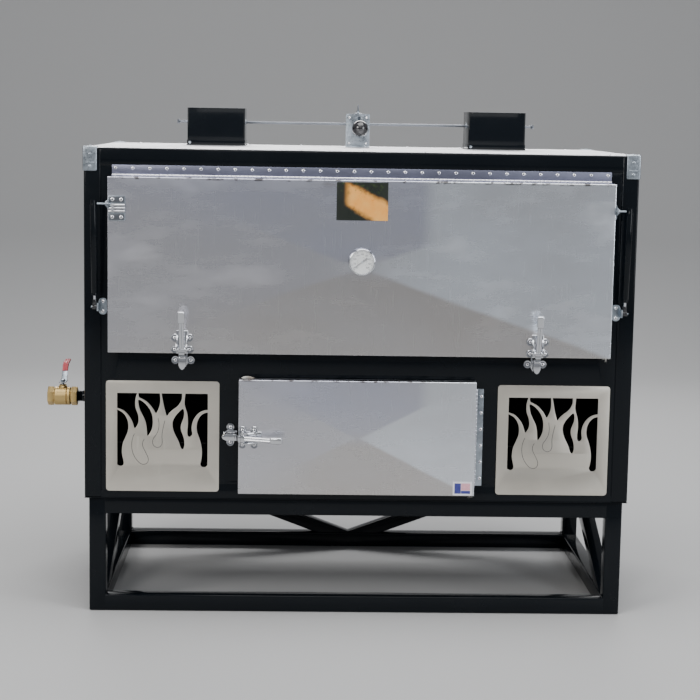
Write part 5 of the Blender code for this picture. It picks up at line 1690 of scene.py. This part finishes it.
class SMOKER_OT_drain(bpy.types.Operator):
    """Black pipe, brass ball valve and its red-gripped handle"""
    bl_idname = "smoker.drain"
    bl_label = "Drain valve"
    bl_options = {"REGISTER", "UNDO"}

    def execute(self, context):
        low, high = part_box("drain_pipe")
        body_low, body_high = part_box("valve_body")
        axis = Vector(JOINTS["valve_turn"]["pos_m"])
        radius = (high.y - low.y) / 2
        self.pipe(low, high, axis, radius)
        self.body(body_low, body_high, axis)
        self.handle(axis)
        return {"FINISHED"}

    def pipe(self, low, high, axis, radius):
        piece = Piece("drain_nipple", "gloss_paint")
        start = Vector((high.x - 2 * radius, axis.y, axis.z))
        run = start.x - low.x
        bore = 11 * MM
        profile = [(bore, 0), (radius * 0.86, 0)]
        for turn in range(7):
            at = (1.0 + turn * 2.0) * MM
            profile += [(radius * 0.96, at), (radius * 0.89, at + MM)]
        profile += [(radius, 17 * MM), (radius, run), (bore, run), (bore, 0)]
        piece.turned(profile, (low.x, axis.y, axis.z), (start.x, axis.y, axis.z), 36)
        drop_x = high.x - radius
        drop = [(bore, 0), (radius, 0), (radius, high.z - axis.z), (bore, high.z - axis.z), (bore, 0)]
        piece.turned(drop, (drop_x, axis.y, axis.z), (drop_x, axis.y, high.z), 32)
        bend = [(radius * 1.08 * math.cos(math.pi * k / 16), radius * 1.08 * math.sin(math.pi * k / 16))
                for k in range(-8, 9)]
        piece.turned(bend, (drop_x, axis.y, axis.z), (drop_x, axis.y, high.z), 32)
        side_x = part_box("outer_casing")[0].x
        piece.use("zinc")
        piece.turned([(radius + TOUCH, 0), (radius * 1.7, 0), (radius * 1.65, 2 * MM),
                      (radius + TOUCH, 4 * MM)],
                     (side_x - TOUCH, axis.y, axis.z), (side_x - 1, axis.y, axis.z), 36)
        piece.done("cabinet", "drain_pipe", slot="gloss_black")

    def body(self, low, high, axis):
        piece = Piece("valve_casting", "brass")
        reach = high.x - low.x
        bore, hexagon, waist = 11 * MM, 30.6 * MM, 26 * MM
        for x, way in ((low.x, 1), (high.x, -1)):
            piece.rod((x, axis.y, axis.z), (x + way * 19 * MM, axis.y, axis.z), hexagon * 0.985, sides=6,
                      round_by=1.6 * MM)
        full, seam = 29 * MM, reach * 0.64
        swell = [(waist, 17 * MM), (waist, 20 * MM), (full, 24 * MM), (full, seam - 1.4 * MM),
                 (full - 3 * MM, seam), (full, seam + 1.4 * MM), (full, reach - 24 * MM),
                 (waist, reach - 20 * MM), (waist, reach - 17 * MM)]
        piece.turned(swell, (low.x, axis.y, axis.z), (high.x, axis.y, axis.z), 40)
        piece.turned(in_mm((14, 0), (14, 30), (12, 32), (12, 36), (9, 37.5), (5, 37.5)), axis,
                     axis + Vector((0, 0, 1)), 32)
        # A dark disc in the bore's mouth: painted shade of the hollow bore.
        piece.use("dial_ink")
        piece.turned([(0, 0), (bore, 0), (bore, 0.4 * MM), (0, 0.4 * MM)],
                     (low.x - 0.3 * MM, axis.y, axis.z), (low.x + 1, axis.y, axis.z), 28)
        piece.use("brass")
        piece.turned([(bore, 0), (bore * 1.25, -0.6 * MM), (bore * 1.45, 0), (bore, 0)],
                     (low.x, axis.y, axis.z), (low.x + 1, axis.y, axis.z), 28)
        piece.done("cabinet", "valve_body", slot="brass")

    def handle(self, axis):
        top = axis.z + 44 * MM
        piece = Piece("valve_lever", "zinc")
        piece.rod((axis.x, axis.y, axis.z), (axis.x, axis.y, top + 3 * MM), 4.2 * MM, sides=18)
        piece.rod((axis.x, axis.y, top + 3.6 * MM), (axis.x, axis.y, top + 9.5 * MM), 8 * MM, sides=6,
                  round_by=0.8 * MM)
        piece.box((axis.x - 11 * MM, axis.y - 12 * MM, top),
                  (axis.x + 11 * MM, axis.y + 32 * MM, top + 3 * MM), MM)
        knee = Vector((axis.x, axis.y + 30 * MM, top + 1.5 * MM))
        bend = Vector((axis.x, axis.y + 74 * MM, top + 50 * MM))
        end = Vector((axis.x, axis.y + 138 * MM, top + 54 * MM))
        piece.bar(knee, bend, 18 * MM, 3 * MM, 0.8 * MM)
        piece.use("red_vinyl")
        grip = [knee.lerp(bend, 0.55), knee.lerp(bend, 0.8), bend, bend.lerp(end, 0.4), bend.lerp(end, 0.75),
                end]
        for side in (-1, 1):
            piece.tube([point + Vector((side * 5.2 * MM, 0, 0)) for point in grip], 4.6 * MM,
                       [0.8, 0.95, 1.0, 1.0, 1.0, 0.7], sides=4, kind="NURBS")
        piece.tube(grip, 4.9 * MM, [0.8, 0.95, 1.0, 1.0, 1.0, 0.7], sides=4, kind="NURBS")
        piece.done("valve_handle", "valve_handle", slot="red_vinyl")


# Stage ------------------------------------------------------------------------------------

class SMOKER_OT_stage(bpy.types.Operator):
    """Pale floor that sweeps up behind, soft lights and the camera"""
    bl_idname = "smoker.stage"
    bl_label = "Stage"
    bl_options = {"REGISTER", "UNDO"}

    def execute(self, context):
        self.camera()
        self.sweep()
        self.lights()
        self.world()
        return {"FINISHED"}

    def camera(self):
        look = settings("stage")
        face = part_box("front_frame")[0].y
        data = bpy.data.cameras.new("view")
        data.lens = look.lens
        data.sensor_width = 36.0
        data.clip_end = 100.0
        made = bpy.data.objects.new("view", data)
        place = Matrix.Translation((-0.1928, face - 5.2557, 1.5201))
        turn = Matrix.Rotation(look.yaw, 4, "Z") @ Matrix.Rotation(math.pi / 2 - look.pitch, 4, "X")
        made.matrix_world = place @ turn @ Matrix.Rotation(look.roll, 4, "Z")
        bpy.context.scene.collection.objects.link(made)
        bpy.context.scene.camera = made

    def sweep(self):
        """Floor, curved rise and backdrop in one sheet."""
        near, far, height, bend = -12.0, 5.0, 9.0, 3.0
        profile = [(near, 0.0)]
        for step in range(17):
            angle = math.radians(90 * step / 16)
            profile.append((far + bend * math.sin(angle), bend - bend * math.cos(angle)))
        profile.append((far + bend, height))
        shape = bmesh.new()
        rows = [[shape.verts.new((x, y, z)) for x in (-14.0, 14.0)] for y, z in profile]
        for (a, b), (c, d) in zip(rows, rows[1:]):
            shape.faces.new((a, b, d, c))
        mesh = bpy.data.meshes.new("floor")
        shape.to_mesh(mesh)
        shape.free()
        mesh.shade_smooth()
        mesh.materials.append(finish("pale_floor"))
        floor = bpy.data.objects.new("floor", mesh)
        floor.location.z = -0.001
        bpy.context.scene.collection.objects.link(floor)

    def lamp(self, name, place, target, size, power, tint=(1.0, 1.0, 1.0)):
        data = bpy.data.lights.new(name, "AREA")
        data.shape = "RECTANGLE"
        data.size, data.size_y = size
        data.energy = power
        data.color = tint
        made = bpy.data.objects.new(name, data)
        made.location = place
        made.rotation_euler = (Vector(target) - Vector(place)).to_track_quat("-Z", "Y").to_euler()
        bpy.context.scene.collection.objects.link(made)

    def lights(self):
        aim = (0.0, 0.3, 0.9)
        self.lamp("overhead", (0.3, -0.6, 4.6), aim, (4.0, 3.0), 190.0)
        self.lamp("key", (-4.2, -4.6, 3.6), aim, (2.6, 2.6), 190.0, (1.0, 0.98, 0.95))
        self.lamp("fill", (5.0, -4.0, 2.4), aim, (2.6, 3.4), 170.0, (0.93, 0.96, 1.0))
        self.lamp("front", (0.3, -7.0, 5.2), aim, (5.0, 2.0), 60.0)
        self.lamp("back", (0.0, 4.6, 4.0), (0.0, 0.6, 1.2), (5.0, 1.6), 220.0)

    def world(self):
        made = bpy.data.worlds.new("studio")
        made.use_nodes = True
        sky = made.node_tree.nodes["Background"]
        sky.inputs["Color"].default_value = (0.80, 0.82, 0.86, 1.0)
        sky.inputs["Strength"].default_value = 0.40
        bpy.context.scene.world = made


OPERATORS = (
    SMOKER_OT_stage, SMOKER_OT_stand, SMOKER_OT_cabinet, SMOKER_OT_corner_caps, SMOKER_OT_interior,
    SMOKER_OT_flame_panels, SMOKER_OT_main_door, SMOKER_OT_firebox_door, SMOKER_OT_hinges, SMOKER_OT_latches,
    SMOKER_OT_struts, SMOKER_OT_thermometer, SMOKER_OT_flues, SMOKER_OT_damper, SMOKER_OT_drain,
)


class SMOKER_PT_panel(bpy.types.Panel):
    """Lists what this add-on builds"""
    bl_idname = "SMOKER_PT_panel"
    bl_label = "Cabinet Smoker Oven"
    bl_space_type = "VIEW_3D"
    bl_region_type = "UI"
    bl_category = "Smoker"

    def draw(self, context):
        for operator in OPERATORS:
            self.layout.operator(operator.bl_idname)


CLASSES = (*GROUPS.values(), *OPERATORS, SMOKER_PT_panel)


def register():
    for item in CLASSES:
        bpy.utils.register_class(item)
    for name, group in GROUPS.items():
        setattr(bpy.types.Scene, name, PointerProperty(type=group))


def unregister():
    for name in GROUPS:
        delattr(bpy.types.Scene, name)
    for item in reversed(CLASSES):
        bpy.utils.unregister_class(item)


def main():
    register()
    for operator in OPERATORS:
        group, name = operator.bl_idname.split(".")
        getattr(getattr(bpy.ops, group), name)()
    bpy.context.view_layer.update()


if __name__ == "__main__":
    main()
